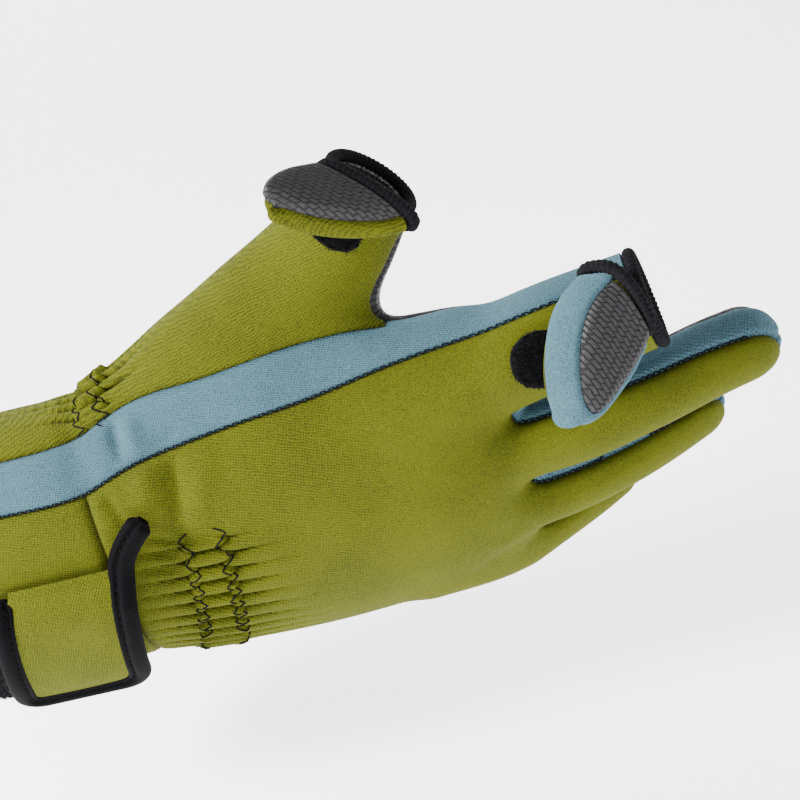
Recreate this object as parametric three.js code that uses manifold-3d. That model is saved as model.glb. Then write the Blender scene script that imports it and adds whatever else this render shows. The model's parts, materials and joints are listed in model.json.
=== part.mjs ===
// A right-hand neoprene fishing glove, shown worn, with the ends of thumb and index finger
// folded back. Millimetres. X runs from the hem to the finger ends, Z from the little finger
// side up to the thumb side, and -Y is the back of the hand. The origin is the middle of the
// opening at the hem.
import * as THREE from 'three';
import Module from 'manifold-3d';

const wasm = await Module();
wasm.setup();

// Driving dimensions
const palmLength = 180;
const palmBreadth = 104;
const cuffBreadth = 87;
const cuffDepth = 54;
const handDepth = 43;
const cuffLength = 58;
const indexLength = 70;
const middleLength = 110;
const ringLength = 93;
const littleLength = 70;
const thumbLength = 100;
const indexWidth = 31;
const middleWidth = 22.5;
const ringWidth = 20.5;
const littleWidth = 18;
const thumbWidth = 32;
const wall = 2.2;
const gap = 0.3;
const gussetHeight = 12.5;
const edgeTapeWidth = 7.6;
const edgeTapeThickness = 5;
const tabLength = 46;
const tabWidth = 43.5;
const tabThickness = 2.4;
const overlockWidth = 3.4;
const indexCapWidth = 23;
const indexCapLength = 30;
const indexCapThickness = 15;
const thumbCapWidth = 30.5;
const thumbCapLength = 22;
const thumbCapThickness = 9.5;
const patchThickness = 1.6;
const patchWidth = 17;
const gatherRise = 1.5;
const gatherPitch = 9;

// Plain helpers

const vec = (x, y, z) => new THREE.Vector3(x, y, z);
const mix = (a, b, t) => a + (b - a) * t;
const clamp = (value, low, high) => Math.min(high, Math.max(low, value));

function smooth(low, high, value) {
  const t = clamp((value - low) / (high - low), 0, 1);
  return t * t * (3 - 2 * t);
}

// Value of one column of a table at a position between its rows, eased through the rows.
function column(rows, name, at) {
  const last = rows.length - 1;
  if (at <= rows[0].at) return rows[0][name];
  if (at >= rows[last].at) return rows[last][name];
  let i = 0;
  while (rows[i + 1].at < at) i += 1;
  const before = rows[Math.max(i - 1, 0)];
  const after = rows[Math.min(i + 2, last)];
  const [a, b] = [rows[i], rows[i + 1]];
  const span = b.at - a.at;
  const t = (at - a.at) / span;
  const slopeA = (b[name] - before[name]) / (b.at - before.at) * span;
  const slopeB = (after[name] - a[name]) / (after.at - a.at) * span;
  const t2 = t * t;
  const t3 = t2 * t;
  return (2 * t3 - 3 * t2 + 1) * a[name] + (t3 - 2 * t2 + t) * slopeA
    + (3 * t2 - 2 * t3) * b[name] + (t3 - t2) * slopeB;
}

// A closed solid from rings of equal count, one after the other. Its ends are closed by fans
// or, on a sheet whose rings run out over one face and back under the other, by strips. A loop
// of rings joins its last ring to its first and needs no ends.
function loft(rings, ends = 'fan') {
  const count = rings[0].length;
  const points = rings.flat();
  const triangles = [];
  const steps = ends === 'loop' ? rings.length : rings.length - 1;
  for (let i = 0; i < steps; i += 1) {
    const next = (i + 1) % rings.length;
    for (let j = 0; j < count; j += 1) {
      const k = (j + 1) % count;
      const [a, b, c, d] = [i * count + j, i * count + k, next * count + k, next * count + j];
      triangles.push([a, b, c], [a, c, d]);
    }
  }
  for (const [ring, turned] of ends === 'loop' ? [] : [[0, true], [rings.length - 1, false]]) {
    const first = ring * count;
    const add = (a, b, c) => triangles.push(turned ? [a, c, b] : [a, b, c]);
    if (ends === 'fan') {
      const middle = vec(0, 0, 0);
      for (const p of rings[ring]) middle.addScaledVector(p, 1 / count);
      points.push(middle);
      for (let j = 0; j < count; j += 1) add(points.length - 1, first + j, first + (j + 1) % count);
    } else {
      for (let j = 0; j < count / 2 - 1; j += 1) {
        const [a, b, c, d] = [first + j, first + j + 1, first + count - 2 - j, first + count - 1 - j];
        add(a, b, c);
        add(a, c, d);
      }
    }
  }
  let volume = 0;
  for (const [a, b, c] of triangles) {
    volume += points[a].dot(vec(0, 0, 0).crossVectors(points[b], points[c]));
  }
  const indices = volume > 0 ? triangles.flat() : triangles.map(([a, b, c]) => [a, c, b]).flat();
  return new wasm.Manifold(new wasm.Mesh({
    numProp: 3,
    vertProperties: new Float32Array(points.flatMap((p) => [p.x, p.y, p.z])),
    triVerts: new Uint32Array(indices),
  }));
}

// Round power of a sine or cosine, which squares an ellipse off as the exponent grows past 2.
const squared = (value, exponent) => Math.sign(value) * Math.abs(value) ** (2 / exponent);

// Cuff and palm: a row for each section, with its place as a share of the palm's length, the
// thumb-side and little-finger-side edges as shares of half the palm's or cuff's breadth, the
// back and palm surfaces as shares of the cuff's depth, and how far the little-finger edge
// curls towards the palm as a share of the hand's depth.
const handRows = [
  { at: 0.00, top: 0.835, bottom: -0.835, back: -0.500, palm: 0.500, curl: 0.00 },
  { at: 0.12, top: 0.835, bottom: -0.830, back: -0.500, palm: 0.495, curl: 0.00 },
  { at: 0.24, top: 0.835, bottom: -0.820, back: -0.495, palm: 0.480, curl: 0.00 },
  { at: 0.29, top: 0.825, bottom: -0.810, back: -0.490, palm: 0.470, curl: 0.02 },
  { at: 0.325, top: 0.785, bottom: -0.810, back: -0.480, palm: 0.455, curl: 0.03 },
  { at: 0.36, top: 0.800, bottom: -0.830, back: -0.485, palm: 0.440, curl: 0.05 },
  { at: 0.44, top: 0.820, bottom: -0.890, back: -0.485, palm: 0.420, curl: 0.12 },
  { at: 0.53, top: 0.870, bottom: -0.955, back: -0.475, palm: 0.380, curl: 0.20 },
  { at: 0.63, top: 0.910, bottom: -1.000, back: -0.460, palm: 0.330, curl: 0.28 },
  { at: 0.75, top: 0.900, bottom: -1.000, back: -0.445, palm: 0.270, curl: 0.34 },
  { at: 0.85, top: 0.890, bottom: -0.970, back: -0.435, palm: 0.215, curl: 0.36 },
  { at: 0.93, top: 0.880, bottom: -0.930, back: -0.400, palm: 0.150, curl: 0.38 },
  { at: 0.97, top: 0.860, bottom: -0.900, back: -0.340, palm: 0.080, curl: 0.38 },
  { at: 1.00, top: 0.840, bottom: -0.880, back: -0.250, palm: 0.000, curl: 0.38 },
];

// The share of its own breadth that the cuff's first row takes, the share of the cuff's depth
// that the palm takes where it is widest, and the two places between which the wrist opens out.
const cuffRowBreadth = 0.835;
const palmRowDepth = 0.79;
const wristAt = 0.29;
const palmAt = 0.63;

// The named sizes and places of the hand at a distance from the hem.
function handAt(x) {
  const at = x / palmLength;
  const opened = smooth(wristAt, palmAt, at);
  const breadth = mix(cuffBreadth / cuffRowBreadth, palmBreadth, opened) / 2;
  const depth = mix(cuffDepth, handDepth / palmRowDepth, opened);
  const top = column(handRows, 'top', at) * breadth;
  const bottom = column(handRows, 'bottom', at) * breadth;
  const back = column(handRows, 'back', at) * depth;
  const palm = column(handRows, 'palm', at) * depth;
  return {
    middleZ: (top + bottom) / 2,
    halfZ: (top - bottom) / 2,
    middleY: (back + palm) / 2,
    halfY: (palm - back) / 2,
    curl: column(handRows, 'curl', at) * handDepth,
  };
}

// How far the section's mid line is bent towards the palm at a height.
function curlAt(hand, z) {
  const share = clamp((hand.middleZ - z) / hand.halfZ, 0, 1);
  return hand.curl * share * share;
}

const handExponent = 2.35;

// A point of the hand's skin: angle 0 faces the back, a quarter turn the thumb side. The lift
// moves it outwards.
function handPoint(x, angle, lift = 0) {
  const hand = handAt(x);
  const z = hand.middleZ + (hand.halfZ + lift) * squared(Math.sin(angle), handExponent);
  const flat = (hand.halfY + lift) * squared(Math.cos(angle), handExponent);
  return vec(x, hand.middleY + curlAt(hand, z) - flat, z);
}

// The shirred wrist: two rows of elastic stitches across the back draw the cloth into puffs.
// Both rows lean towards the hem as they run down to the little finger side. They reach from
// one angle round the hand to another, and the puffs fade out at a share of the palm's length.
const gatherRows = [
  { at: 0.450, narrowing: 1.0 },
  { at: 0.505, narrowing: 0.8 },
];
const gatherLean = 0.2;
const gatherHigh = 0.1;
const gatherLow = -1.35;
const gatherReach = 0.075;
const gatherNeck = 0.012;

function gatherLift(x, angle) {
  const inside = smooth(gatherLow - 0.15, gatherLow + 0.1, angle)
    * (1 - smooth(gatherHigh, gatherHigh + 0.2, angle));
  const run = handAt(x).halfZ * angle;
  const straight = x - gatherLean * Math.min(run, 0);
  const [first, second] = gatherRows.map((row) => row.at * palmLength);
  const away = straight - (first + second) / 2;
  const wave = Math.abs(Math.cos((Math.PI * run) / gatherPitch));
  const between = Math.max(0, 1 - 2 * (away / (second - first)) ** 2);
  const outside = Math.exp(-((away / (gatherReach * palmLength)) ** 2));
  let pinch = 0;
  for (const row of gatherRows) {
    const share = straight / palmLength - row.at;
    pinch += row.narrowing * Math.exp(-((share / gatherNeck) ** 2));
  }
  return inside * gatherRise * (wave * (between + 0.5 * outside) - 0.9 * pinch);
}

const handSides = 34;
const hollowSides = 14;

// Angles round the hand, twice as close together over the gathers.
function handAngles(count) {
  const angles = [];
  const dense = Math.round(count * 0.6);
  for (let i = 0; i < dense; i += 1) {
    angles.push(mix(-1.6, 0.25, i / dense));
  }
  for (let i = 0; i < count - dense; i += 1) {
    angles.push(mix(0.25, 2 * Math.PI - 1.6, i / (count - dense)));
  }
  return angles;
}

function handRing(x, lift, count, gathered) {
  return handAngles(count).map((angle) => (
    handPoint(x, angle, lift + (gathered ? gatherLift(x, angle) : 0))
  ));
}

// Places along the hand where a section is drawn, closer over the gathers.
function handStations(gathered) {
  const stations = [];
  const low = (gatherRows[0].at - gatherReach) * palmLength;
  const high = (gatherRows[1].at + gatherReach / 2) * palmLength;
  for (let x = 0; x < palmLength - 1;) {
    stations.push(x);
    x += gathered && x > low && x < high ? 3.6 : 15;
  }
  stations.push(palmLength);
  return stations;
}

// Fingers: each row gives a centre as shares of the finger's length from its root, along X, up
// Z and towards the palm, and the breadth and depth as shares of the finger's width.
const fingers = {
  index: {
    root: { along: 0.840, up: 0.195, front: -0.170 },
    length: indexLength,
    width: indexWidth,
    open: true,
    rows: [
      { at: 0.00, along: 0.00, up: 0.00, front: 0.00, breadth: 0.92, depth: 0.80 },
      { at: 0.22, along: 0.22, up: 0.07, front: -0.01, breadth: 1.00, depth: 0.90 },
      { at: 0.60, along: 0.60, up: 0.17, front: -0.05, breadth: 0.98, depth: 0.90 },
      { at: 1.00, along: 1.00, up: 0.25, front: -0.08, breadth: 0.90, depth: 0.86 },
    ],
  },
  middle: {
    root: { along: 0.830, up: 0.00, front: -0.150 },
    length: middleLength,
    width: middleWidth,
    rows: [
      { at: 0.00, along: 0.00, up: -0.01, front: 0.00, breadth: 0.95, depth: 0.95 },
      { at: 0.42, along: 0.42, up: 0.025, front: -0.015, breadth: 1.00, depth: 1.00 },
      { at: 0.63, along: 0.63, up: 0.065, front: -0.005, breadth: 1.00, depth: 0.98 },
      { at: 0.80, along: 0.80, up: 0.100, front: 0.02, breadth: 1.00, depth: 0.94 },
      { at: 1.00, along: 1.00, up: 0.125, front: 0.05, breadth: 0.94, depth: 0.86 },
    ],
  },
  ring: {
    root: { along: 0.830, up: -0.185, front: -0.090 },
    length: ringLength,
    width: ringWidth,
    rows: [
      { at: 0.00, along: 0.00, up: 0.00, front: 0.00, breadth: 0.95, depth: 0.95 },
      { at: 0.38, along: 0.38, up: 0.005, front: 0.01, breadth: 1.00, depth: 1.00 },
      { at: 0.68, along: 0.68, up: 0.055, front: 0.065, breadth: 1.00, depth: 0.98 },
      { at: 1.00, along: 1.00, up: 0.140, front: 0.150, breadth: 0.92, depth: 0.86 },
    ],
  },
  little: {
    root: { along: 0.800, up: -0.375, front: 0.040 },
    length: littleLength,
    width: littleWidth,
    rows: [
      { at: 0.00, along: 0.00, up: -0.01, front: 0.00, breadth: 0.95, depth: 0.95 },
      { at: 0.35, along: 0.35, up: -0.01, front: 0.05, breadth: 1.00, depth: 1.00 },
      { at: 0.70, along: 0.70, up: 0.075, front: 0.16, breadth: 1.00, depth: 0.98 },
      { at: 1.00, along: 1.00, up: 0.170, front: 0.27, breadth: 0.92, depth: 0.86 },
    ],
  },
  thumb: {
    root: { along: 0.345, up: 0.250, front: 0.060 },
    length: thumbLength,
    width: thumbWidth,
    open: true,
    rows: [
      { at: 0.00, along: 0.00, up: 0.00, front: 0.00, breadth: 1.00, depth: 1.05 },
      { at: 0.22, along: 0.24, up: 0.11, front: 0.01, breadth: 1.16, depth: 1.10 },
      { at: 0.50, along: 0.53, up: 0.25, front: 0.01, breadth: 1.22, depth: 1.00 },
      { at: 0.75, along: 0.765, up: 0.395, front: 0.00, breadth: 1.10, depth: 0.92 },
      { at: 1.00, along: 0.945, up: 0.575, front: -0.03, breadth: 0.84, depth: 0.82 },
    ],
  },
  web: {
    root: { along: 0.540, up: 0.380, front: 0.040 },
    length: 0.285 * palmLength,
    width: 0.62 * thumbWidth,
    rows: [
      { at: 0.00, along: 0.00, up: 0.00, front: 0.00, breadth: 1.60, depth: 1.10 },
      { at: 0.50, along: 0.50, up: 0.16, front: 0.00, breadth: 1.45, depth: 0.95 },
      { at: 1.00, along: 0.98, up: 0.30, front: 0.00, breadth: 1.10, depth: 0.80 },
    ],
  },
};

// Centre of a finger at a share of its length.
function fingerCentre(finger, at) {
  const { root, length, rows } = finger;
  return vec(
    root.along * palmLength + column(rows, 'along', at) * length,
    root.front * handDepth + column(rows, 'front', at) * length,
    root.up * palmBreadth + column(rows, 'up', at) * length,
  );
}

function fingerFrame(finger, at) {
  const step = 0.02;
  const ahead = fingerCentre(finger, Math.min(at + step, 1));
  const behind = fingerCentre(finger, Math.max(at - step, 0));
  const direction = ahead.sub(behind).normalize();
  const up = vec(0, -1, 0).cross(direction).normalize();
  const back = direction.clone().cross(up).normalize();
  return { centre: fingerCentre(finger, at), direction, up, back };
}

// One section of a finger: angle 0 faces the back of the hand, a quarter turn its thumb side.
function fingerPoint(finger, at, angle, lift, shrink = 1, push = 0) {
  const { centre, direction, up, back } = fingerFrame(finger, at);
  const breadth = (column(finger.rows, 'breadth', at) * finger.width) / 2 + lift;
  const depth = (column(finger.rows, 'depth', at) * finger.width) / 2 + lift;
  return centre
    .addScaledVector(up, breadth * shrink * Math.sin(angle))
    .addScaledVector(back, depth * shrink * Math.cos(angle))
    .addScaledVector(direction, push);
}

// A closed finger end is a dome that reaches out by a share of the finger's width.
const tipReach = 0.52;
const domeSteps = 3;
const lastDomeRing = 0.97;

// A finger as a closed tube. A closed end is a dome; an open one runs on by some length.
function fingerSolid(finger, lift, sides, steps, runOn = 0) {
  const rings = [];
  const ring = (at, shrink, push) => Array.from({ length: sides }, (_, j) => (
    fingerPoint(finger, at, (2 * Math.PI * j) / sides, lift, shrink, push)
  ));
  const tip = finger.open ? 0 : (finger.width * tipReach) / finger.length;
  for (let i = 0; i <= steps; i += 1) {
    rings.push(ring(mix(0, 1 - tip, i / steps), 1, 0));
  }
  if (finger.open) {
    if (runOn) rings.push(ring(1, 1, runOn));
  } else {
    const dome = finger.width * tipReach + lift;
    for (let i = 1; i <= domeSteps; i += 1) {
      const turn = (Math.PI / 2) * (i / domeSteps) * lastDomeRing;
      rings.push(ring(1 - tip, Math.cos(turn), dome * Math.sin(turn)));
    }
  }
  return loft(rings);
}

// Outer skin and hollow of the whole glove.
function gloveSolid(lift, outside) {
  const stations = handStations(outside);
  if (!outside) {
    stations[0] = -2 * wall;
    stations[stations.length - 1] = palmLength - wall;
  }
  const sides = outside ? handSides : hollowSides;
  let solid = loft(stations.map((x) => handRing(x, lift, sides, outside)));
  const [fingerSides, fingerSteps, runOn] = outside ? [12, 5, 0] : [8, 4, 2 * wall];
  for (const finger of Object.values(fingers)) {
    solid = solid.add(fingerSolid(finger, lift, fingerSides, fingerSteps, runOn));
  }
  return solid;
}

// Seams. Each is a surface that the shell is cut along.

// Centre line of a finger at a distance from the hem, clamped to the finger's ends.
function lineAt(finger, x) {
  const start = finger.root.along * palmLength;
  const reach = column(finger.rows, 'along', 1) * finger.length;
  return fingerCentre(finger, clamp((x - start) / reach, 0, 1));
}

const knuckleOrder = [fingers.index, fingers.middle, fingers.ring, fingers.little];

// The surface through the four centre lines: their depth, carried between them by height.
function fingerDepth(x, z) {
  const lines = knuckleOrder.map((finger) => lineAt(finger, x));
  if (z >= lines[0].z) return lines[0].y;
  for (let i = 1; i < lines.length; i += 1) {
    if (z >= lines[i].z) {
      const t = (lines[i - 1].z - z) / (lines[i - 1].z - lines[i].z);
      return mix(lines[i - 1].y, lines[i].y, t);
    }
  }
  return lines[3].y;
}

const webStart = 0.955 * palmLength;
const webEnd = 1.01 * palmLength;
const thumbSeamTilt = 0.45;
const sideSeamDepth = 0.16 * cuffDepth;
const indexSeamDepth = -0.14 * handDepth;

// Height of the palm's seam: round the cuff and palm edge, up over the inside of the thumb, and
// along the fingers at half a gusset from their centre lines.
function palmSeam(x, z) {
  const hand = handAt(clamp(x, 0, palmLength));
  const height = z / palmBreadth;
  const edge = sideSeamDepth + curlAt(hand, z) - 0.25 * hand.curl * smooth(0, -0.2, height);
  const lean = smooth(0.62, 0.85, x / palmLength) * smooth(0.1, 0.29, height);
  let seam = mix(edge, indexSeamDepth, lean);
  const base = fingerCentre(fingers.thumb, 0);
  const along = fingerCentre(fingers.thumb, 1).sub(base);
  const across = ((x - base.x) * along.z - (z - base.z) * along.x) / Math.hypot(along.x, along.z);
  const thumbSeam = base.y - thumbSeamTilt * clamp(across, -thumbWidth / 2, thumbWidth / 2);
  const onThumb = smooth(0.8, 1.08, (z - hand.middleZ) / hand.halfZ)
    * smooth(0.36, 0.5, x / palmLength);
  seam = mix(seam, thumbSeam, onThumb);
  const onFinger = smooth(0.88 * palmLength, webEnd, x) * (1 - onThumb);
  return mix(seam, fingerDepth(x, z) + gussetHeight / 2, onFinger);
}

// Height of the back's seam beside the gussets, closed up on the palm's seam short of the webs
// and on the little finger's outer side.
function backSeam(x, z) {
  const offLittle = (z - lineAt(fingers.little, x).z) / littleWidth;
  const open = smooth(webStart, webEnd, x) * smooth(-0.22, 0.11, offLittle);
  return palmSeam(x, z) - open * gussetHeight;
}

// The stripe along the thumb side: its two seams as shares of the palm's breadth, measured on
// the diagonal that runs square to the glove's shoulder there.
const stripeRows = [
  { at: -0.05, lower: -0.005, upper: 0.195 },
  { at: 0.18, lower: -0.005, upper: 0.200 },
  { at: 0.30, lower: 0.000, upper: 0.215 },
  { at: 0.42, lower: 0.075, upper: 0.305 },
  { at: 0.55, lower: 0.115, upper: 0.310 },
  { at: 0.70, lower: 0.150, upper: 0.345 },
  { at: 0.85, lower: 0.205, upper: 0.375 },
  { at: 1.00, lower: 0.235, upper: 0.420 },
  { at: 1.25, lower: 0.290, upper: 0.480 },
];
const stripeSeam = (x, name) => column(stripeRows, name, x / palmLength) * palmBreadth;

// Corners of the space that the cutting solids fill.
const fieldLow = vec(-0.08 * palmLength, -1.6 * handDepth, -0.63 * palmBreadth);
const fieldHigh = vec(palmLength + middleLength, 1.6 * handDepth, 1.1 * palmBreadth);
const fieldMargin = 0.6 * palmBreadth;

// Solid of everything on the palm side of a seam height, moved by an offset.
function palmSide(seam, offset) {
  const columns = 21;
  const rows = 19;
  const rings = [];
  for (let i = 0; i <= columns; i += 1) {
    const x = mix(fieldLow.x, fieldHigh.x, i / columns);
    const ring = [];
    for (let j = 0; j <= rows; j += 1) {
      const z = mix(fieldLow.z, fieldHigh.z, j / rows);
      ring.push(vec(x, seam(x, z) + offset, z));
    }
    ring.push(vec(x, fieldHigh.y, fieldHigh.z), vec(x, fieldHigh.y, fieldLow.z));
    rings.push(ring);
  }
  return loft(rings);
}

// Solid of everything on the thumb side of a stripe seam.
function thumbSide(name, offset) {
  const rings = [];
  const columns = 24;
  const reach = 1.5 * palmBreadth;
  for (let i = 0; i <= columns; i += 1) {
    const x = mix(fieldLow.x, fieldHigh.x, i / columns);
    const seam = stripeSeam(x, name) / 2 + offset * Math.SQRT1_2;
    rings.push([
      vec(x, seam - reach, seam + reach),
      vec(x, seam + reach, seam - reach),
      vec(x, seam + 2 * reach, seam + reach),
      vec(x, seam, seam + 2 * reach),
    ]);
  }
  return loft(rings);
}

// Solid of everything above a height that changes along X.
function above(height, offset) {
  const rings = [];
  const columns = 20;
  for (let i = 0; i <= columns; i += 1) {
    const x = mix(fieldLow.x, fieldHigh.x, i / columns);
    const z = height(x) + offset;
    const top = fieldHigh.z + fieldMargin;
    rings.push([
      vec(x, fieldLow.y, z), vec(x, fieldHigh.y, z), vec(x, fieldHigh.y, top), vec(x, fieldLow.y, top),
    ]);
  }
  return loft(rings);
}

// Solid of everything beyond a distance from the hem.
function beyond(x) {
  const far = palmLength + middleLength;
  const [low, high] = [fieldLow.z - fieldMargin, fieldHigh.z + fieldMargin];
  const ring = (at) => [
    vec(at, fieldLow.y, low), vec(at, fieldHigh.y, low), vec(at, fieldHigh.y, high), vec(at, fieldLow.y, high),
  ];
  return loft([ring(x), ring(far)]);
}

const half = gap / 2;
const outer = gloveSolid(0, true);
const hollow = gloveSolid(-wall, false);
const shell = outer.subtract(hollow);

const panels = {};
panels.palm_panel = shell.intersect(palmSide(palmSeam, half));
const notPalm = shell.subtract(palmSide(palmSeam, -half));
const thumbCrotch = 0.845 * palmLength;
const crotchHeight = 0.49 * palmBreadth;
const underHand = -0.58 * palmBreadth;
const aboveIndex = above((x) => (
  mix(underHand, lineAt(fingers.index, x).z, smooth(0.8, 0.95, x / palmLength))
), 0);
const stripeAndThumb = notPalm.intersect(thumbSide('lower', half)).intersect(aboveIndex);
const besideThumb = (offset) => beyond(thumbCrotch + offset)
  .subtract(above(() => crotchHeight, -offset));
panels.side_stripe = stripeAndThumb
  .subtract(thumbSide('upper', -half).subtract(besideThumb(half)));
panels.thumb_panel = stripeAndThumb
  .intersect(thumbSide('upper', half))
  .subtract(besideThumb(-half));
const backAndGussets = notPalm.subtract(thumbSide('lower', -half).intersect(aboveIndex));
const backZone = backAndGussets.subtract(palmSide(backSeam, -half));
panels.cuff_panel = backZone.subtract(beyond(cuffLength - half));
panels.back_panel = backZone.intersect(beyond(cuffLength + half));

const gussetZone = backAndGussets.intersect(palmSide(backSeam, half)).intersect(beyond(webStart));
const gussets = [
  ['gusset_index_middle', fingers.index, fingers.middle],
  ['gusset_middle_ring', fingers.middle, fingers.ring],
  ['gusset_ring_little', fingers.ring, fingers.little],
];
for (const [name, upper, lower] of gussets) {
  panels[name] = gussetZone
    .intersect(above((x) => lineAt(lower, x).z, half))
    .subtract(above((x) => lineAt(upper, x).z, -half));
}

// Folded-back finger ends. Each is a flat pouch lying on the back of its finger, mouth beside
// the finger's own mouth. Directions are given along the finger, towards its thumb side and
// away from its back. A row gives the pouch's two edges as shares of half its width, and its
// thickness, at a share of its length.
const pouches = {
  index: {
    finger: fingers.index,
    width: indexCapWidth,
    length: indexCapLength,
    thickness: indexCapThickness,
    mouthRun: vec(0.15, -0.97, 0.21),
    lengthRun: vec(-0.67, -0.64, 0.39),
    thicknessRun: vec(-0.89, 0.08, -0.44),
    place: { along: 0.0, up: 0.22, off: 0.47 },
    squareness: 2.8,
    rows: [
      { at: -0.2, low: -1.00, high: 1.00, thick: 1.00 },
      { at: 0.00, low: -1.00, high: 1.00, thick: 1.00 },
      { at: 0.25, low: -1.24, high: 0.95, thick: 1.00 },
      { at: 0.50, low: -1.28, high: 0.78, thick: 1.00 },
      { at: 0.75, low: -1.02, high: 0.56, thick: 0.95 },
      { at: 0.92, low: -0.62, high: 0.30, thick: 0.80 },
      { at: 1.00, low: -0.30, high: 0.05, thick: 0.55 },
    ],
    layers: [['index_cap_face', 0, 0.14], ['index_cap_band', 0.14, 0.86], ['index_cap_back', 0.86, 1]],
  },
  thumb: {
    finger: fingers.thumb,
    width: thumbCapWidth,
    length: thumbCapLength,
    thickness: thumbCapThickness,
    mouthRun: vec(-0.055, -0.997, -0.06),
    lengthRun: vec(-0.41, 0.73, 0.55),
    thicknessRun: vec(-0.87, -0.43, -0.23),
    place: { along: 0.80, up: 0.18, off: 0.61 },
    squareness: 2.3,
    rows: [
      { at: -0.2, low: -1.00, high: 1.00, thick: 1.00 },
      { at: 0.00, low: -1.00, high: 1.00, thick: 1.00 },
      { at: 0.30, low: -1.00, high: 0.98, thick: 1.00 },
      { at: 0.60, low: -0.85, high: 0.80, thick: 1.00 },
      { at: 0.82, low: -0.62, high: 0.55, thick: 0.90 },
      { at: 0.94, low: -0.40, high: 0.32, thick: 0.72 },
      { at: 1.00, low: -0.20, high: 0.14, thick: 0.50 },
    ],
    layers: [['thumb_cap_face', 0, 0.42], ['thumb_cap_back', 0.42, 1]],
  },
};

// A pouch's own directions and mouth in the glove's frame.
function pouchFrame(pouch) {
  const { finger, place, thickness } = pouch;
  const { centre, direction, up, back } = fingerFrame(finger, 1);
  const turn = (run) => vec(0, 0, 0).addScaledVector(direction, run.x)
    .addScaledVector(up, run.y).addScaledVector(back, run.z);
  const surface = (column(finger.rows, 'depth', 1) * finger.width) / 2;
  const origin = centre
    .addScaledVector(direction, place.along * thickness)
    .addScaledVector(up, place.up * finger.width)
    .addScaledVector(back, surface + place.off * thickness);
  return {
    origin,
    mouth: turn(pouch.mouthRun),
    length: turn(pouch.lengthRun),
    thick: turn(pouch.thicknessRun),
  };
}

// Point of a pouch from shares across, along and through it.
function pouchPlace(pouch, frame, across, along, through) {
  return frame.origin.clone()
    .addScaledVector(frame.mouth, (across * pouch.width) / 2)
    .addScaledVector(frame.length, along * pouch.length)
    .addScaledVector(frame.thick, through * pouch.thickness);
}

function pouchPoint(pouch, frame, at, angle, inset) {
  const low = column(pouch.rows, 'low', at) + (2 * inset) / pouch.width;
  const high = column(pouch.rows, 'high', at) - (2 * inset) / pouch.width;
  const thick = column(pouch.rows, 'thick', at) - (2 * inset) / pouch.thickness;
  const across = (low + high) / 2 + ((high - low) / 2) * squared(Math.cos(angle), pouch.squareness);
  const through = 0.5 - (thick / 2) * squared(Math.sin(angle), pouch.squareness);
  return pouchPlace(pouch, frame, across, at, through);
}

function pouchSolid(pouch, inset, start, sides) {
  const frame = pouchFrame(pouch);
  const end = 1 - inset / pouch.length;
  const rings = [start, 0.25, 0.5, 0.7, 0.86, end].map((at) => (
    Array.from({ length: sides }, (_, j) => (
      pouchPoint(pouch, frame, at, (2 * Math.PI * j) / sides, inset)
    ))
  ));
  return loft(rings);
}

// Slab of a pouch between two shares of its thickness, open-ended past its outer faces.
function pouchLayer(pouch, low, high) {
  const frame = pouchFrame(pouch);
  const from = low === 0 ? -1 : low + half / pouch.thickness;
  const to = high === 1 ? 2 : high - half / pouch.thickness;
  const quad = (through) => [[-3, -1], [3, -1], [3, 2], [-3, 2]].map(([across, along]) => (
    pouchPlace(pouch, frame, across, along, through)
  ));
  return loft([quad(from), quad(to)]);
}

// A round cord laid along a closed ring of points, as overlock stitching lies on a cut edge.
function edgeCord(points, sides = 5) {
  const radius = overlockWidth / 2;
  const count = points.length;
  const middle = vec(0, 0, 0);
  for (const p of points) middle.addScaledVector(p, 1 / count);
  const rings = points.map((p, i) => {
    const run = points[(i + 1) % count].clone().sub(points[(i + count - 1) % count]).normalize();
    const out = p.clone().sub(middle);
    out.addScaledVector(run, -out.dot(run)).normalize();
    const side = run.clone().cross(out);
    return Array.from({ length: sides }, (_, j) => {
      const turn = (2 * Math.PI * (j + 0.5)) / sides;
      return p.clone()
        .addScaledVector(out, radius * Math.cos(turn))
        .addScaledVector(side, radius * Math.sin(turn));
    });
  });
  return loft(rings, 'loop');
}

const edgeSteps = 16;
for (const [name, pouch] of Object.entries(pouches)) {
  const walls = pouchSolid(pouch, 0, 0, 16).subtract(pouchSolid(pouch, wall, -0.15, 10));
  for (const [layer, low, high] of pouch.layers) {
    panels[layer] = walls.intersect(pouchLayer(pouch, low, high));
  }
  const frame = pouchFrame(pouch);
  const rimNormal = frame.mouth.clone().cross(frame.thick).normalize();
  const rise = Math.abs(frame.length.dot(rimNormal)) * pouch.length;
  const lead = -(overlockWidth / 2 + gap) / rise;
  const turns = Array.from({ length: edgeSteps }, (_, i) => (2 * Math.PI * i) / edgeSteps);
  panels[`${name}_cap_edge`] = edgeCord(turns.map((angle) => (
    pouchPoint(pouch, frame, lead, angle, wall / 2)
  )));
  panels[`${name}_mouth_edge`] = edgeCord(turns.map((angle) => (
    fingerPoint(pouch.finger, 1, angle, -wall / 2, 1, overlockWidth / 2 + gap)
  )));
}

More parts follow.
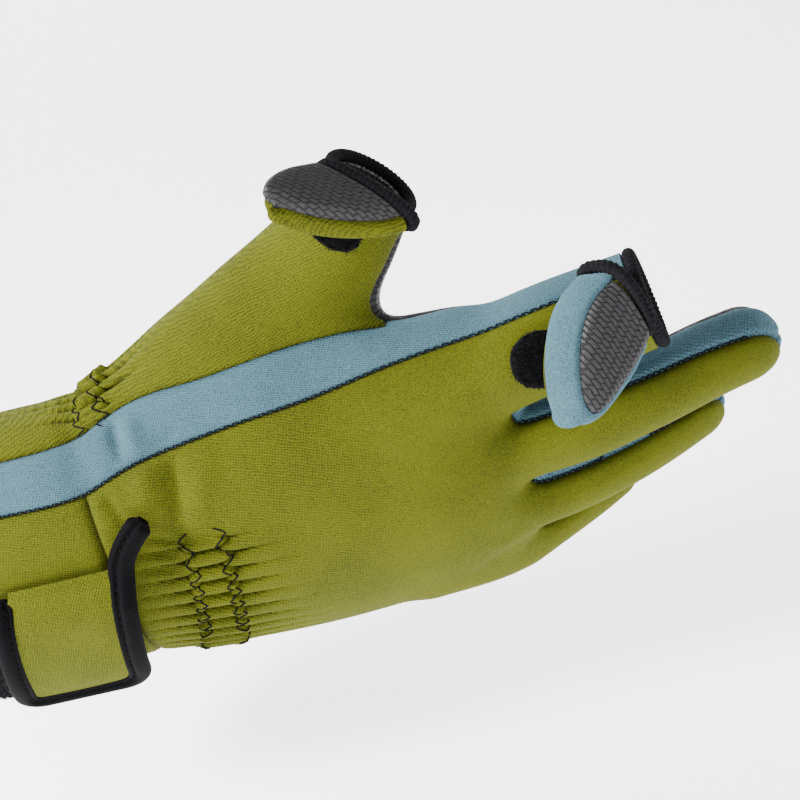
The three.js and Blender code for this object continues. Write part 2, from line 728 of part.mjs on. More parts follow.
// Hook patches that hold the folded ends: round pieces lying on the back of the finger.
const patches = {
  index_patch: { finger: fingers.index, at: 0.60, angle: 0.05 },
  thumb_patch: { finger: fingers.thumb, at: 0.88, angle: 0.30 },
};
for (const [name, patch] of Object.entries(patches)) {
  const { finger, at, angle } = patch;
  const { centre, direction } = fingerFrame(finger, at);
  const out = fingerPoint(finger, at, angle, 0).sub(centre).normalize();
  const side = direction.clone().cross(out);
  const ring = (reach) => Array.from({ length: 12 }, (_, j) => {
    const turn = (2 * Math.PI * j) / 12;
    return centre.clone().addScaledVector(out, reach)
      .addScaledVector(direction, (patchWidth / 2) * Math.cos(turn))
      .addScaledVector(side, (patchWidth / 2) * Math.sin(turn));
  });
  panels[name] = fingerSolid(finger, gap + patchThickness, 12, 6)
    .subtract(fingerSolid(finger, gap, 12, 6))
    .intersect(loft([ring(0), ring(2 * finger.width)]));
}

// Closing strap: its sewn end lies across the back of the cuff, and its free end follows the
// cuff towards the little finger and then runs straight off it.
const tab = {
  left: 0.39 * cuffLength,
  start: 0.02,
  leave: -0.80,
  slant: 0.24,
  curl: 0.19 * tabWidth,
  curlRun: 1.8 * edgeTapeWidth,
  cornerRadius: 7,
  lowLift: edgeTapeThickness / 2 + 1.4 * gap,
  highLift: edgeTapeThickness / 2 + patchThickness + 4 * gap,
};

// Points down the tab's middle line at equal steps, with the direction and outward normal there.
function tabTrack(step) {
  const x = tab.left + tabWidth / 2;
  const track = [];
  let angle = tab.start;
  const skin = (a) => handPoint(x, a, 0);
  let place = skin(angle);
  for (let run = 0; run <= tabLength + step; run += step) {
    const ahead = skin(angle - 0.02).sub(skin(angle)).normalize();
    const normal = vec(0, ahead.z, -ahead.y);
    track.push({ run, place: place.clone(), ahead, normal });
    if (angle > tab.leave) {
      let moved = 0;
      while (moved < step) {
        const next = angle - 0.004;
        moved += skin(next).distanceTo(skin(angle));
        angle = next;
      }
      place = skin(angle);
    } else {
      place = place.clone().addScaledVector(ahead, step);
    }
  }
  return track;
}

const track = tabTrack(1);

// Point of the tab from a distance down it, a distance from the hem at its sewn end, and a lift.
function tabPoint(run, x, lift) {
  const at = clamp(run, 0, tabLength);
  const i = Math.min(Math.floor(at), track.length - 2);
  const t = at - i;
  const place = track[i].place.clone().lerp(track[i + 1].place, t);
  const { normal, ahead } = track[i];
  const base = mix(tab.lowLift, tab.highLift, smooth(0, 12, run));
  place.addScaledVector(ahead, run - at);
  place.x = x - tab.slant * run;
  return place.addScaledVector(normal, base + lift);
}

const tapeCover = 0.4;

// The tab's cloth, ending inside its edge tape, with round corners at its free end.
function tabSolid(grow) {
  const inset = edgeTapeWidth * tapeCover - grow;
  const rings = [];
  const columns = 7;
  for (let i = 0; i <= columns; i += 1) {
    const share = i / columns;
    const x = mix(tab.left + inset, tab.left + tabWidth - inset, share);
    const fromSide = Math.min(share, 1 - share) * (tabWidth - 2 * inset);
    const short = Math.max(0, tab.cornerRadius - fromSide);
    const cut = tab.cornerRadius - Math.sqrt(tab.cornerRadius ** 2 - short ** 2);
    const end = tabLength - edgeTapeWidth * tapeCover - cut;
    const upper = [];
    const lower = [];
    const rows = 8;
    for (let j = 0; j <= rows; j += 1) {
      const run = (end * j) / rows + (j === rows ? grow : 0) - (j === 0 ? 4 * grow : 0);
      upper.push(tabPoint(run, x, tabThickness / 2 + grow));
      lower.unshift(tabPoint(run, x, -tabThickness / 2 - grow));
    }
    rings.push([...upper, ...lower]);
  }
  return loft(rings, 'strip');
}

// The tape's centre line round the tab: down the hand's side of it from a curled end, across
// the free end and back up.
function tapeLine() {
  const edge = edgeTapeWidth / 2;
  const left = tab.left + edge;
  const right = tab.left + tabWidth - edge;
  const bottom = tabLength - edge;
  const radius = tab.cornerRadius - 2;
  const line = [];
  for (const share of [1, 0.75, 0.5, 0.25]) {
    line.push([-tab.curlRun * share, right + tab.curl * share ** 1.7]);
  }
  for (const share of [0, 0.3, 0.6, 0.85]) line.push([mix(0, bottom - radius, share), right]);
  for (const turn of [0, 0.33, 0.67, 1]) {
    const angle = (Math.PI / 2) * turn;
    line.push([bottom - radius + radius * Math.sin(angle), right - radius + radius * Math.cos(angle)]);
  }
  for (const share of [0.33, 0.67]) line.push([bottom, mix(right - radius, left + radius, share)]);
  for (const turn of [0, 0.33, 0.67, 1]) {
    const angle = (Math.PI / 2) * turn;
    line.push([bottom - radius + radius * Math.cos(angle), left + radius - radius * Math.sin(angle)]);
  }
  for (const share of [0.25, 0.5, 0.75, 1]) line.push([mix(bottom - radius, 1, share), left]);
  return line;
}

function tapeSolid() {
  const line = tapeLine();
  const sides = 6;
  const rings = line.map(([run, x], i) => {
    const here = tabPoint(run, x, 0);
    const ahead = line[Math.min(i + 1, line.length - 1)];
    const behind = line[Math.max(i - 1, 0)];
    const along = tabPoint(ahead[0], ahead[1], 0).sub(tabPoint(behind[0], behind[1], 0)).normalize();
    const normal = tabPoint(run, x, 1).sub(here);
    const side = along.clone().cross(normal).normalize();
    return Array.from({ length: sides }, (_, j) => {
      const turn = (2 * Math.PI * j) / sides;
      return here.clone()
        .addScaledVector(side, (edgeTapeWidth / 2) * squared(Math.cos(turn), 2.4))
        .addScaledVector(normal, (edgeTapeThickness / 2) * squared(Math.sin(turn), 2.4));
    });
  });
  return loft(rings);
}

panels.strap_tab = tabSolid(0);
panels.strap_tape = tapeSolid().subtract(tabSolid(gap));

// Loop pile sewn to the cuff under the strap, from its first angle round to its last.
const pileStart = -0.44;
const pileEnd = -1.75;
const pileSpan = [0.10, 0.48, 0.85];
function pileSolid() {
  const rings = [];
  const angles = Array.from({ length: 16 }, (_, i) => mix(pileStart, pileEnd, i / 15));
  for (const share of pileSpan) {
    const x = share * cuffLength;
    rings.push([
      ...angles.map((angle) => handPoint(x, angle, 2 * gap + patchThickness)),
      ...angles.map((angle) => handPoint(x, angle, 2 * gap)).reverse(),
    ]);
  }
  return loft(rings, 'strip');
}
panels.strap_pile = pileSolid();

const finishes = {
  olive: { color: 0x6b7422, roughness: 0.9, metalness: 0 },
  slate: { color: 0x56707a, roughness: 0.9, metalness: 0 },
  black: { color: 0x1c1c1e, roughness: 0.7, metalness: 0 },
};
const finishOf = {
  palm_panel: 'black',
  back_panel: 'olive',
  cuff_panel: 'olive',
  thumb_panel: 'olive',
  side_stripe: 'slate',
  gusset_index_middle: 'slate',
  gusset_middle_ring: 'slate',
  gusset_ring_little: 'slate',
  index_cap_face: 'black',
  index_cap_band: 'slate',
  index_cap_back: 'olive',
  index_cap_edge: 'black',
  index_mouth_edge: 'black',
  index_patch: 'black',
  thumb_cap_face: 'black',
  thumb_cap_back: 'olive',
  thumb_cap_edge: 'black',
  thumb_mouth_edge: 'black',
  thumb_patch: 'black',
  strap_tab: 'olive',
  strap_tape: 'black',
  strap_pile: 'black',
};

// Largest body of a cut piece, without the slivers that a cut can leave.
function mainBody(solid) {
  const bodies = solid.decompose();
  return bodies.reduce((best, body) => (body.volume() > best.volume() ? body : best));
}

function meshOf(name, solid) {
  const mesh = mainBody(solid).getMesh();
  const geometry = new THREE.BufferGeometry();
  geometry.setAttribute('position', new THREE.BufferAttribute(mesh.vertProperties, 3));
  geometry.setIndex(new THREE.BufferAttribute(mesh.triVerts, 1));
  const node = new THREE.Mesh(geometry, new THREE.MeshStandardMaterial(finishes[finishOf[name]]));
  node.name = name;
  return node;
}

const glove = new THREE.Group();
for (const [name, solid] of Object.entries(panels)) {
  glove.add(meshOf(name, solid));
}

export default glove;
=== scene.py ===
# %% [markdown]
# # A worn fishing glove, folded fingertips and all
# The glove is one soft shell, full and rounded as it is when worn. The cloth could be modelled patch
# by patch, but the patches would never meet cleanly at the webs. It is easier to describe the whole
# glove as one smooth distance field, wrap a fine mesh round it, and then cut that mesh along its seams.
# All lengths in the script are millimetres; they turn into metres where a mesh is made.

import bpy
import json
import math
import mathutils
import numpy as np
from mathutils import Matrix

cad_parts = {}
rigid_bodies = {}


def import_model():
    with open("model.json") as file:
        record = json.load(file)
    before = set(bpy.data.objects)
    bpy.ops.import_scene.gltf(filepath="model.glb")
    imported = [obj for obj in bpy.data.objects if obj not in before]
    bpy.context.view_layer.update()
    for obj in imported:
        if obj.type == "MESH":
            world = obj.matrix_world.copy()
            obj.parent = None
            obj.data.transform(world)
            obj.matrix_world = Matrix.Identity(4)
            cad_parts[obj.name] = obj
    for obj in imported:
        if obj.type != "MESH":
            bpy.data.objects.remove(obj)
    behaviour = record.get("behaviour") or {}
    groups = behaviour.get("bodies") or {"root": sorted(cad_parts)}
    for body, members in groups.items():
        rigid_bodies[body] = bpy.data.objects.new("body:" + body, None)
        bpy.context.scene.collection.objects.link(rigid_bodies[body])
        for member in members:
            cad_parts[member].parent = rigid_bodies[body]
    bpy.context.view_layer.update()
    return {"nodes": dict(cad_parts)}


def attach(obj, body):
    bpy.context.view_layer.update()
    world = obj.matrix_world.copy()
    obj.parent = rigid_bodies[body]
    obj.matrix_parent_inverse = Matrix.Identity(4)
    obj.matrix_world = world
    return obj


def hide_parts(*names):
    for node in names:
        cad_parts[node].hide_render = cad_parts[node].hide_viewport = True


for item in list(bpy.data.objects):
    bpy.data.objects.remove(item)
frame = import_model()
random = np.random.default_rng(7)
print("pieces from the frame:", len(frame["nodes"]))

# %% [markdown]
# ## Named sizes
# The same sizes drive the solid model, so the cloth lands where its solid is. PALM_LENGTH runs from
# the hem to the knuckles along x; z points to the thumb side and y to the palm.

# %% Named sizes
PALM_LENGTH = 180.0
PALM_BREADTH = 104.0
CUFF_BREADTH = 87.0
CUFF_DEPTH = 54.0
HAND_DEPTH = 43.0
CUFF_LENGTH = 58.0
WALL = 2.2
GUSSET_HEIGHT = 12.5
THUMB_WIDTH = 32.0
MESH_STEP = 0.95
print("from hem to knuckles", PALM_LENGTH, "mm, across the palm", PALM_BREADTH, "mm")

# %% [markdown]
# ## Small helpers for tables and curves
# A table is a few rows of named columns. A smooth curve through a column gives the value between
# rows. A straight interpolation would be shorter to write, but its corners would show on taut cloth.


# %% Tables and curves
def table(names, *rows):
    """Turns rows of numbers into {column name: array}."""
    return dict(zip(names.split(), np.array(rows, dtype=float).T))


def eased(rows, name, at):
    """Cubic through the rows: h00 a + h10 sa + h01 b + h11 sb, slopes from the rows either side."""
    x, y = rows["at"], rows[name]
    at = np.clip(at, x[0], x[-1])
    i = np.clip(np.searchsorted(x, at, side="right") - 1, 0, len(x) - 2)
    before, after = np.maximum(i - 1, 0), np.minimum(i + 2, len(x) - 1)
    span = x[i + 1] - x[i]
    t = (at - x[i]) / span
    a, b = y[i], y[i + 1]
    slope_a = (b - y[before]) / (x[i + 1] - x[before]) * span
    slope_b = (y[after] - a) / (x[after] - x[i]) * span
    t2, t3 = t * t, t * t * t
    return (
        (2 * t3 - 3 * t2 + 1) * a + (t3 - 2 * t2 + t) * slope_a
        + (3 * t2 - 2 * t3) * b + (t3 - t2) * slope_b
    )


def smooth(low, high, value):
    """3t^2 - 2t^3 with t = (value - low) / (high - low) kept between 0 and 1."""
    t = np.clip((value - low) / (high - low), 0, 1)
    return t * t * (3 - 2 * t)


def mix(a, b, t):
    """a + (b - a) t."""
    return a + (b - a) * t


def soft_min(a, b, reach):
    """min(a, b) - h^2 reach / 4 with h = max(1 - |a - b| / reach, 0)."""
    h = np.maximum(1 - np.abs(a - b) / reach, 0)
    return np.minimum(a, b) - h * h * reach / 4


def unit(v):
    """v / |v| row by row."""
    return v / np.maximum(np.linalg.norm(v, axis=-1, keepdims=True), 1e-9)


print("half way up a smooth step:", smooth(0, 1, 0.5))

# %% [markdown]
# ## The glove as a field
# Cuff and palm are a stack of squared ellipses. Each finger is a bent tube with an elliptical
# section that follows its own centre line. The palm's table, HAND, holds shares: of the half breadth
# for top and bottom, of the depth for back and palm.

# %% Sections of cuff and palm
HAND = table(
    "at top bottom back palm curl",
    (0.00, 0.835, -0.835, -0.500, 0.500, 0.00),
    (0.12, 0.835, -0.830, -0.500, 0.495, 0.00),
    (0.24, 0.835, -0.820, -0.495, 0.480, 0.00),
    (0.29, 0.825, -0.810, -0.490, 0.470, 0.02),
    (0.325, 0.785, -0.810, -0.480, 0.455, 0.03),
    (0.36, 0.800, -0.830, -0.485, 0.440, 0.05),
    (0.44, 0.820, -0.890, -0.485, 0.420, 0.12),
    (0.53, 0.870, -0.955, -0.475, 0.380, 0.20),
    (0.63, 0.910, -1.000, -0.460, 0.330, 0.28),
    (0.75, 0.900, -1.000, -0.445, 0.270, 0.34),
    (0.85, 0.890, -0.970, -0.435, 0.215, 0.36),
    (0.93, 0.880, -0.930, -0.400, 0.150, 0.38),
    (0.97, 0.860, -0.900, -0.340, 0.080, 0.38),
    (1.00, 0.840, -0.880, -0.250, 0.000, 0.38),
)
SQUARENESS = 2.35
CUFF_SHARE, BACK_SHARE = 0.835, 0.79
KNUCKLE_ROUNDING = 9.0


def hand_at(x):
    """Middle and half sizes of the section at x: (mid z, half z, mid y, half y, curl)."""
    at = np.clip(x / PALM_LENGTH, 0, 1)
    opened = smooth(0.29, 0.63, at)
    breadth = mix(CUFF_BREADTH / CUFF_SHARE, PALM_BREADTH, opened) / 2
    depth = mix(CUFF_DEPTH, HAND_DEPTH / BACK_SHARE, opened)
    top, bottom = eased(HAND, "top", at) * breadth, eased(HAND, "bottom", at) * breadth
    back, palm = eased(HAND, "back", at) * depth, eased(HAND, "palm", at) * depth
    curl = eased(HAND, "curl", at) * HAND_DEPTH
    return (top + bottom) / 2, (top - bottom) / 2, (back + palm) / 2, (palm - back) / 2, curl


def curl_at(mid_z, half_z, curl, z):
    """How far the little finger side is bent towards the palm: curl s^2, s from 0 to 1 downwards."""
    share = np.clip((mid_z - z) / half_z, 0, 1)
    return curl * share * share


def hand_field(p):
    """Distance to the squared ellipse, (q - 1) / |grad q|, cut off softly at the knuckles."""
    mid_z, half_z, mid_y, half_y, curl = hand_at(p[:, 0])
    dy = p[:, 1] - mid_y - curl_at(mid_z, half_z, curl, p[:, 2])
    dz = p[:, 2] - mid_z
    a, b = np.abs(dy) / half_y + 1e-6, np.abs(dz) / half_z + 1e-6
    e = SQUARENESS
    q = (a**e + b**e) ** (1 / e)
    grad = np.hypot((a / q) ** (e - 1) / half_y, (b / q) ** (e - 1) / half_z)
    return -soft_min(-(q - 1) / grad, -(p[:, 0] - PALM_LENGTH + 1), KNUCKLE_ROUNDING)


print("half breadth of the palm:", round(float(hand_at(np.array([0.63 * PALM_LENGTH]))[1][0]), 1), "mm")

# %% [markdown]
# Each finger's table gives its centre line and its two radii at shares of its length. The web between
# thumb and palm is one more tube, because two tubes that only touch would leave a sharp notch.

# %% Fingers
FINGER_COLUMNS = "at along up front breadth depth"
FINGERS = {
    "index": dict(
        root=(0.840, 0.195, -0.170), length=70.0, width=31.0, open=True,
        rows=table(
            FINGER_COLUMNS,
            (0.00, 0.00, 0.00, 0.00, 0.92, 0.80),
            (0.22, 0.22, 0.07, -0.01, 1.00, 0.90),
            (0.60, 0.60, 0.17, -0.05, 0.98, 0.90),
            (1.00, 1.00, 0.25, -0.08, 0.90, 0.86),
        ),
    ),
    "middle": dict(
        root=(0.830, 0.00, -0.150), length=110.0, width=22.5, open=False,
        rows=table(
            FINGER_COLUMNS,
            (0.00, 0.00, -0.01, 0.00, 0.95, 0.95),
            (0.42, 0.42, 0.025, -0.015, 1.00, 1.00),
            (0.63, 0.63, 0.065, -0.005, 1.00, 0.98),
            (0.80, 0.80, 0.100, 0.02, 1.00, 0.94),
            (1.00, 1.00, 0.125, 0.05, 0.94, 0.86),
        ),
    ),
    "ring": dict(
        root=(0.830, -0.185, -0.090), length=93.0, width=20.5, open=False,
        rows=table(
            FINGER_COLUMNS,
            (0.00, 0.00, 0.00, 0.00, 0.95, 0.95),
            (0.38, 0.38, 0.005, 0.01, 1.00, 1.00),
            (0.68, 0.68, 0.055, 0.065, 1.00, 0.98),
            (1.00, 1.00, 0.140, 0.150, 0.92, 0.86),
        ),
    ),
    "little": dict(
        root=(0.800, -0.375, 0.040), length=70.0, width=18.0, open=False,
        rows=table(
            FINGER_COLUMNS,
            (0.00, 0.00, -0.01, 0.00, 0.95, 0.95),
            (0.35, 0.35, -0.01, 0.05, 1.00, 1.00),
            (0.70, 0.70, 0.075, 0.16, 1.00, 0.98),
            (1.00, 1.00, 0.170, 0.27, 0.92, 0.86),
        ),
    ),
    "thumb": dict(
        root=(0.345, 0.250, 0.060), length=100.0, width=THUMB_WIDTH, open=True,
        rows=table(
            FINGER_COLUMNS,
            (0.00, 0.00, 0.00, 0.00, 1.00, 1.05),
            (0.22, 0.24, 0.11, 0.01, 1.16, 1.10),
            (0.50, 0.53, 0.25, 0.01, 1.22, 1.00),
            (0.75, 0.765, 0.395, 0.00, 1.10, 0.92),
            (1.00, 0.945, 0.575, -0.03, 0.84, 0.82),
        ),
    ),
    "web": dict(
        root=(0.540, 0.380, 0.040), length=0.285 * PALM_LENGTH, width=0.62 * THUMB_WIDTH, open=False,
        rows=table(
            FINGER_COLUMNS,
            (0.00, 0.00, 0.00, 0.00, 1.60, 1.10),
            (0.50, 0.50, 0.16, 0.00, 1.45, 0.95),
            (1.00, 0.98, 0.30, 0.00, 1.10, 0.80),
        ),
    ),
}
TIP_REACH = 0.52
OPEN_REACH = 400.0
FINGER_BLEND, PALM_BLEND, THUMB_BLEND = 2.5, 7.0, 9.0
for name, finger in FINGERS.items():
    print(name, "is", round(finger["length"], 1), "mm long and", round(finger["width"], 1), "mm wide")

# %% [markdown]
# A tube's distance needs the nearest point of its centre line. The line is sampled once, and a few
# steps along it find that point for a whole array of places at once.


# %% Finger tubes
def finger_centre(finger, at):
    """root + columns x length at a share of the finger's length."""
    root = np.array(finger["root"]) * (PALM_LENGTH, PALM_BREADTH, HAND_DEPTH)
    rows, length = finger["rows"], finger["length"]
    return np.stack(
        [
            root[0] + eased(rows, "along", at) * length,
            root[2] + eased(rows, "front", at) * length,
            root[1] + eased(rows, "up", at) * length,
        ],
        axis=-1,
    )


def finger_frame(finger, at):
    """Centre, direction, thumb-side and back-side unit vectors at shares of the length."""
    at = np.atleast_1d(np.asarray(at, dtype=float))
    step = 0.02
    ahead = finger_centre(finger, np.minimum(at + step, 1))
    behind = finger_centre(finger, np.maximum(at - step, 0))
    direction = unit(ahead - behind)
    up = unit(np.cross(np.array([0, -1.0, 0]), direction))
    return finger_centre(finger, at), direction, up, unit(np.cross(direction, up))


def finger_samples(finger, count=48):
    at = np.linspace(0, 1, count)
    centre, direction, up, back = finger_frame(finger, at)
    breadth = eased(finger["rows"], "breadth", at) * finger["width"] / 2
    depth = eased(finger["rows"], "depth", at) * finger["width"] / 2
    return np.hstack([centre, direction, up, back, breadth[:, None], depth[:, None]])


def looked_up(samples, at):
    """The sampled row at shares of the length, straight between two samples."""
    s = at * (len(samples) - 1)
    i = np.minimum(s.astype(int), len(samples) - 2)
    return mix(samples[i], samples[i + 1], (s - i)[:, None])


def finger_field(finger, p):
    """Distance to the tube, k0 (k0 - 1) / k1, where k0 is the ellipsoid's level and k1 its slope.

    The share along the centre line is found by three steps of share + (p - centre) . direction / length.
    A closed tip is half an ellipsoid, and an open tube runs straight on.
    """
    samples, length = finger["samples"], finger["length"]
    tip = finger["width"] * TIP_REACH
    end = 1 - (0 if finger["open"] else tip / length)
    first, last = samples[0], samples[-1]
    chord = last[:3] - first[:3]
    at = (p - first[:3]) @ chord / (chord @ chord)
    for _ in range(3):
        at = np.clip(at, 0, end)
        here = looked_up(samples, at)
        at = at + np.einsum("ij,ij->i", p - here[:, :3], here[:, 3:6]) / length
    here = looked_up(samples, np.clip(at, 0, end))
    away = p - here[:, :3]
    w = np.einsum("ij,ij->i", away, here[:, 3:6])
    u = np.einsum("ij,ij->i", away, here[:, 6:9])
    v = np.einsum("ij,ij->i", away, here[:, 9:12])
    breadth, depth = here[:, 12], here[:, 13]
    reach = np.where(w > 0, OPEN_REACH if finger["open"] else tip, breadth)
    k0 = np.sqrt((u / breadth) ** 2 + (v / depth) ** 2 + (w / reach) ** 2) + 1e-6
    k1 = np.sqrt((u / breadth**2) ** 2 + (v / depth**2) ** 2 + (w / reach**2) ** 2) + 1e-6
    return k0 * (k0 - 1) / k1


for finger in FINGERS.values():
    finger["samples"] = finger_samples(finger)
print("each centre line has", len(FINGERS["index"]["samples"]), "samples")

# %% [markdown]
# All tubes and the palm melt into one field. A hard minimum would leave a crease at each web, so a
# soft one rounds them off, tight between the fingers and wide at the thumb.


# %% The whole glove
def glove_field(p):
    """Everything joined softly: fingers with a tight web, the thumb with a wide one."""
    f = finger_field(FINGERS["index"], p)
    for name in ("middle", "ring", "little"):
        f = soft_min(f, finger_field(FINGERS[name], p), FINGER_BLEND)
    thumb = soft_min(finger_field(FINGERS["thumb"], p), finger_field(FINGERS["web"], p), THUMB_BLEND)
    return soft_min(soft_min(f, hand_field(p), PALM_BLEND), thumb, THUMB_BLEND)


def field_slope(p, f=None, step=0.25):
    """Gradient of the field by forward differences."""
    f = glove_field(p) if f is None else f
    return np.stack([(glove_field(p + step * axis) - f) / step for axis in np.eye(3)], axis=-1)


def onto_skin(p, offset, rounds=4):
    """Points moved to a distance outside the skin by steps of (f - offset) g / |g|^2, and g / |g| there."""
    for _ in range(rounds):
        f = glove_field(p)
        g = field_slope(p, f)
        p = p - ((f - offset) / np.maximum((g * g).sum(1), 0.2))[:, None] * g
    return p, unit(field_slope(p))


print("the middle of the palm is", round(float(-glove_field(np.array([[90.0, 0.0, 0.0]]))[0]), 1), "mm deep")

# %% [markdown]
# ## Wrapping a mesh round the field
# Marching cubes would need its table of 256 cases. Surface nets need none: each cell of a grid that
# the surface crosses gets one point, and each grid edge that it crosses gets one quad. The field is
# only worked out near the surface, found first on a grid four times as coarse.


# %% Surface nets
def grid_values(low, counts, step, margin=8.0, ratio=4):
    """Field on a grid, exact within the margin of the surface and copied from a coarse grid beyond."""
    coarse_counts = -(-counts // ratio) + 1
    axes = [low[k] + step * ratio * np.arange(coarse_counts[k]) for k in range(3)]
    points = np.stack(np.meshgrid(*axes, indexing="ij"), axis=-1).reshape(-1, 3)
    coarse = glove_field(points + step * ratio / 2).reshape(coarse_counts)
    values = coarse.repeat(ratio, 0).repeat(ratio, 1).repeat(ratio, 2)
    values = values[: counts[0], : counts[1], : counts[2]].copy()
    near = np.argwhere(np.abs(values) < margin)
    values[tuple(near.T)] = glove_field(low + step * near)
    return values


def surface_nets(values, low, step):
    """One vertex per crossed cell at the mean of its edge crossings; one quad per crossed edge."""
    inside = values < 0
    corners = [(a, b, c) for a in (0, 1) for b in (0, 1) for c in (0, 1)]
    cut = [slice(None, -1), slice(1, None)]
    total = sum(inside[cut[a], cut[b], cut[c]].astype(np.int8) for a, b, c in corners)
    cells = np.argwhere((total > 0) & (total < 8))
    number = np.full(total.shape, -1)
    number[tuple(cells.T)] = np.arange(len(cells))
    place = np.zeros((len(cells), 3))
    weight = np.zeros(len(cells))
    for i, first in enumerate(corners):
        for second in corners[i + 1:]:
            difference = np.array(second) - np.array(first)
            if np.abs(difference).sum() != 1:
                continue
            a = values[tuple((cells + first).T)]
            b = values[tuple((cells + second).T)]
            crossed = (a < 0) != (b < 0)
            t = np.where(crossed, a / np.where(crossed, a - b, 1), 0)
            place += np.where(crossed[:, None], np.array(first) + t[:, None] * difference, 0)
            weight += crossed
    vertices = low + step * (cells + place / weight[:, None])
    quads = []
    for axis in range(3):
        u, v = (axis + 1) % 3, (axis + 2) % 3
        a = np.take(inside, np.arange(inside.shape[axis] - 1), axis)
        b = np.take(inside, np.arange(1, inside.shape[axis]), axis)
        edges = np.argwhere(a != b)
        edges = edges[(edges[:, u] > 0) & (edges[:, v] > 0)]
        edges = edges[(edges[:, u] < total.shape[u]) & (edges[:, v] < total.shape[v])]
        leaving = a[tuple(edges.T)]
        e_u, e_v = np.eye(3, dtype=int)[u], np.eye(3, dtype=int)[v]
        ring = [number[tuple((edges - shift).T)] for shift in (0 * e_u, e_u, e_u + e_v, e_v)]
        quad = np.stack(ring, axis=1)
        quads.append(np.where(leaving[:, None], quad, quad[:, ::-1]))
    return vertices, np.concatenate(quads)


print("cells along the glove:", math.ceil(PALM_LENGTH / MESH_STEP), "from hem to knuckles")

# %% [markdown]
# The net's points lie within half a cell of the surface. Two of Newton's steps put them on it, so
# that the fine mesh shows no steps where light grazes it.

# %% Skin
GRID_LOW = np.array([-12.0, -34.0, -60.0])
GRID_HIGH = np.array([268.0, 36.0, 108.0])
counts = np.ceil((GRID_HIGH - GRID_LOW) / MESH_STEP).astype(int)
values = grid_values(GRID_LOW, counts, MESH_STEP)
skin, skin_quads = surface_nets(values, GRID_LOW, MESH_STEP)
skin, skin_normal = onto_skin(skin, 0.0, rounds=2)
triangles = np.concatenate([skin_quads[:, [0, 1, 2]], skin_quads[:, [0, 2, 3]]])
print("skin:", len(skin), "points,", len(triangles), "triangles, worst miss",
      round(float(np.abs(glove_field(skin)).max()), 3), "mm")

# %% [markdown]
# ## Mesh tools
# A cloth is cut out of the skin like a pattern piece, along the zero level of some scalar. Boolean
# tools could cut too, but they leave ragged edges on a mesh as fine as this.


# %% Cutting
def clip(faces, level, columns):
    """Keeps the part with level > 0, cutting triangles where the straight line along an edge is 0."""
    positive = level[faces] > 0
    count = positive.sum(1)
    pieces = [faces[count == 3]]
    fresh = []
    for wanted, inside_first in ((1, True), (2, False)):
        part = faces[count == wanted]
        flag = positive[count == wanted]
        turn = np.argmax(flag if inside_first else ~flag, axis=1)
        index = (turn[:, None] + np.arange(3)) % 3
        fresh.append(np.take_along_axis(part, index, 1))
    one, two = fresh
    edges = np.concatenate([one[:, [0, 1]], one[:, [0, 2]], two[:, [0, 1]], two[:, [0, 2]]])
    ordered = np.sort(edges, axis=1)
    unique, back = np.unique(ordered, axis=0, return_inverse=True)
    back = back.reshape(-1)
    a, b = level[unique[:, 0]], level[unique[:, 1]]
    t = a / (a - b)
    new = len(level) + back
    n1, n2 = len(one), len(two)
    ab, ac = new[:n1], new[n1: 2 * n1]
    pieces.append(np.stack([one[:, 0], ab, ac], axis=1))
    ab, ac = new[2 * n1: 2 * n1 + n2], new[2 * n1 + n2:]
    pieces.append(np.stack([ab, two[:, 1], two[:, 2]], axis=1))
    pieces.append(np.stack([ab, two[:, 2], ac], axis=1))
    faces = np.concatenate(pieces)
    used, faces = np.unique(faces, return_inverse=True)
    faces = faces.reshape(-1, 3)
    good = (faces[:, 0] != faces[:, 1]) & (faces[:, 1] != faces[:, 2]) & (faces[:, 2] != faces[:, 0])
    out = {}
    for name, values in columns.items():
        shape = (-1,) + (1,) * (values.ndim - 1)
        extra = mix(values[unique[:, 0]], values[unique[:, 1]], t.reshape(shape))
        out[name] = np.concatenate([values, extra])[used]
    return faces[good], out


past_cuff, _ = clip(triangles, skin[:, 0] - CUFF_LENGTH, dict(p=skin))
print("a cut at the cuff's end leaves", len(past_cuff), "of", len(triangles), "triangles")

# %% [markdown]
# The small puffs of the gathers need a finer mesh than the rest of the glove. Splitting only their
# triangles in four saves a great many elsewhere, and their neighbours are split to match.


# %% Refining
def refine(points, faces, marked):
    """Splits marked triangles in four and their neighbours in two or three, so that no gap opens."""
    edges = np.sort(faces[:, [[0, 1], [1, 2], [2, 0]]].reshape(-1, 2), axis=1)
    unique, back = np.unique(edges, axis=0, return_inverse=True)
    back = back.reshape(-1, 3)
    split = np.zeros(len(unique), bool)
    split[back[marked]] = True
    middle = np.full(len(unique), -1)
    middle[split] = len(points) + np.arange(split.sum())
    points = np.concatenate([points, points[unique[split]].mean(1)])
    mids, cut = middle[back], split[back]
    count = cut.sum(1)
    a, b, c = faces[count == 3].T
    ab, bc, ca = mids[count == 3].T
    out = [faces[count == 0]]
    out += [np.stack(corners, 1) for corners in ((a, ab, ca), (ab, b, bc), (ca, bc, c), (ab, bc, ca))]
    for wanted in (1, 2):
        part, mid, flag = faces[count == wanted], mids[count == wanted], cut[count == wanted]
        turn = np.argmax(flag, 1) if wanted == 1 else (np.argmin(flag, 1) + 1) % 3
        index = (turn[:, None] + np.arange(3)) % 3
        a, b, c = np.take_along_axis(part, index, 1).T
        ab, bc, _ = np.take_along_axis(mid, index, 1).T
        if wanted == 1:
            out += [np.stack([a, ab, c], 1), np.stack([ab, b, c], 1)]
        else:
            out += [np.stack([ab, b, bc], 1), np.stack([a, ab, bc], 1), np.stack([a, bc, c], 1)]
    return points, np.concatenate(out)


fine, _ = refine(skin, triangles[:1], np.array([True]))
print("splitting one triangle adds", len(fine) - len(skin), "points")

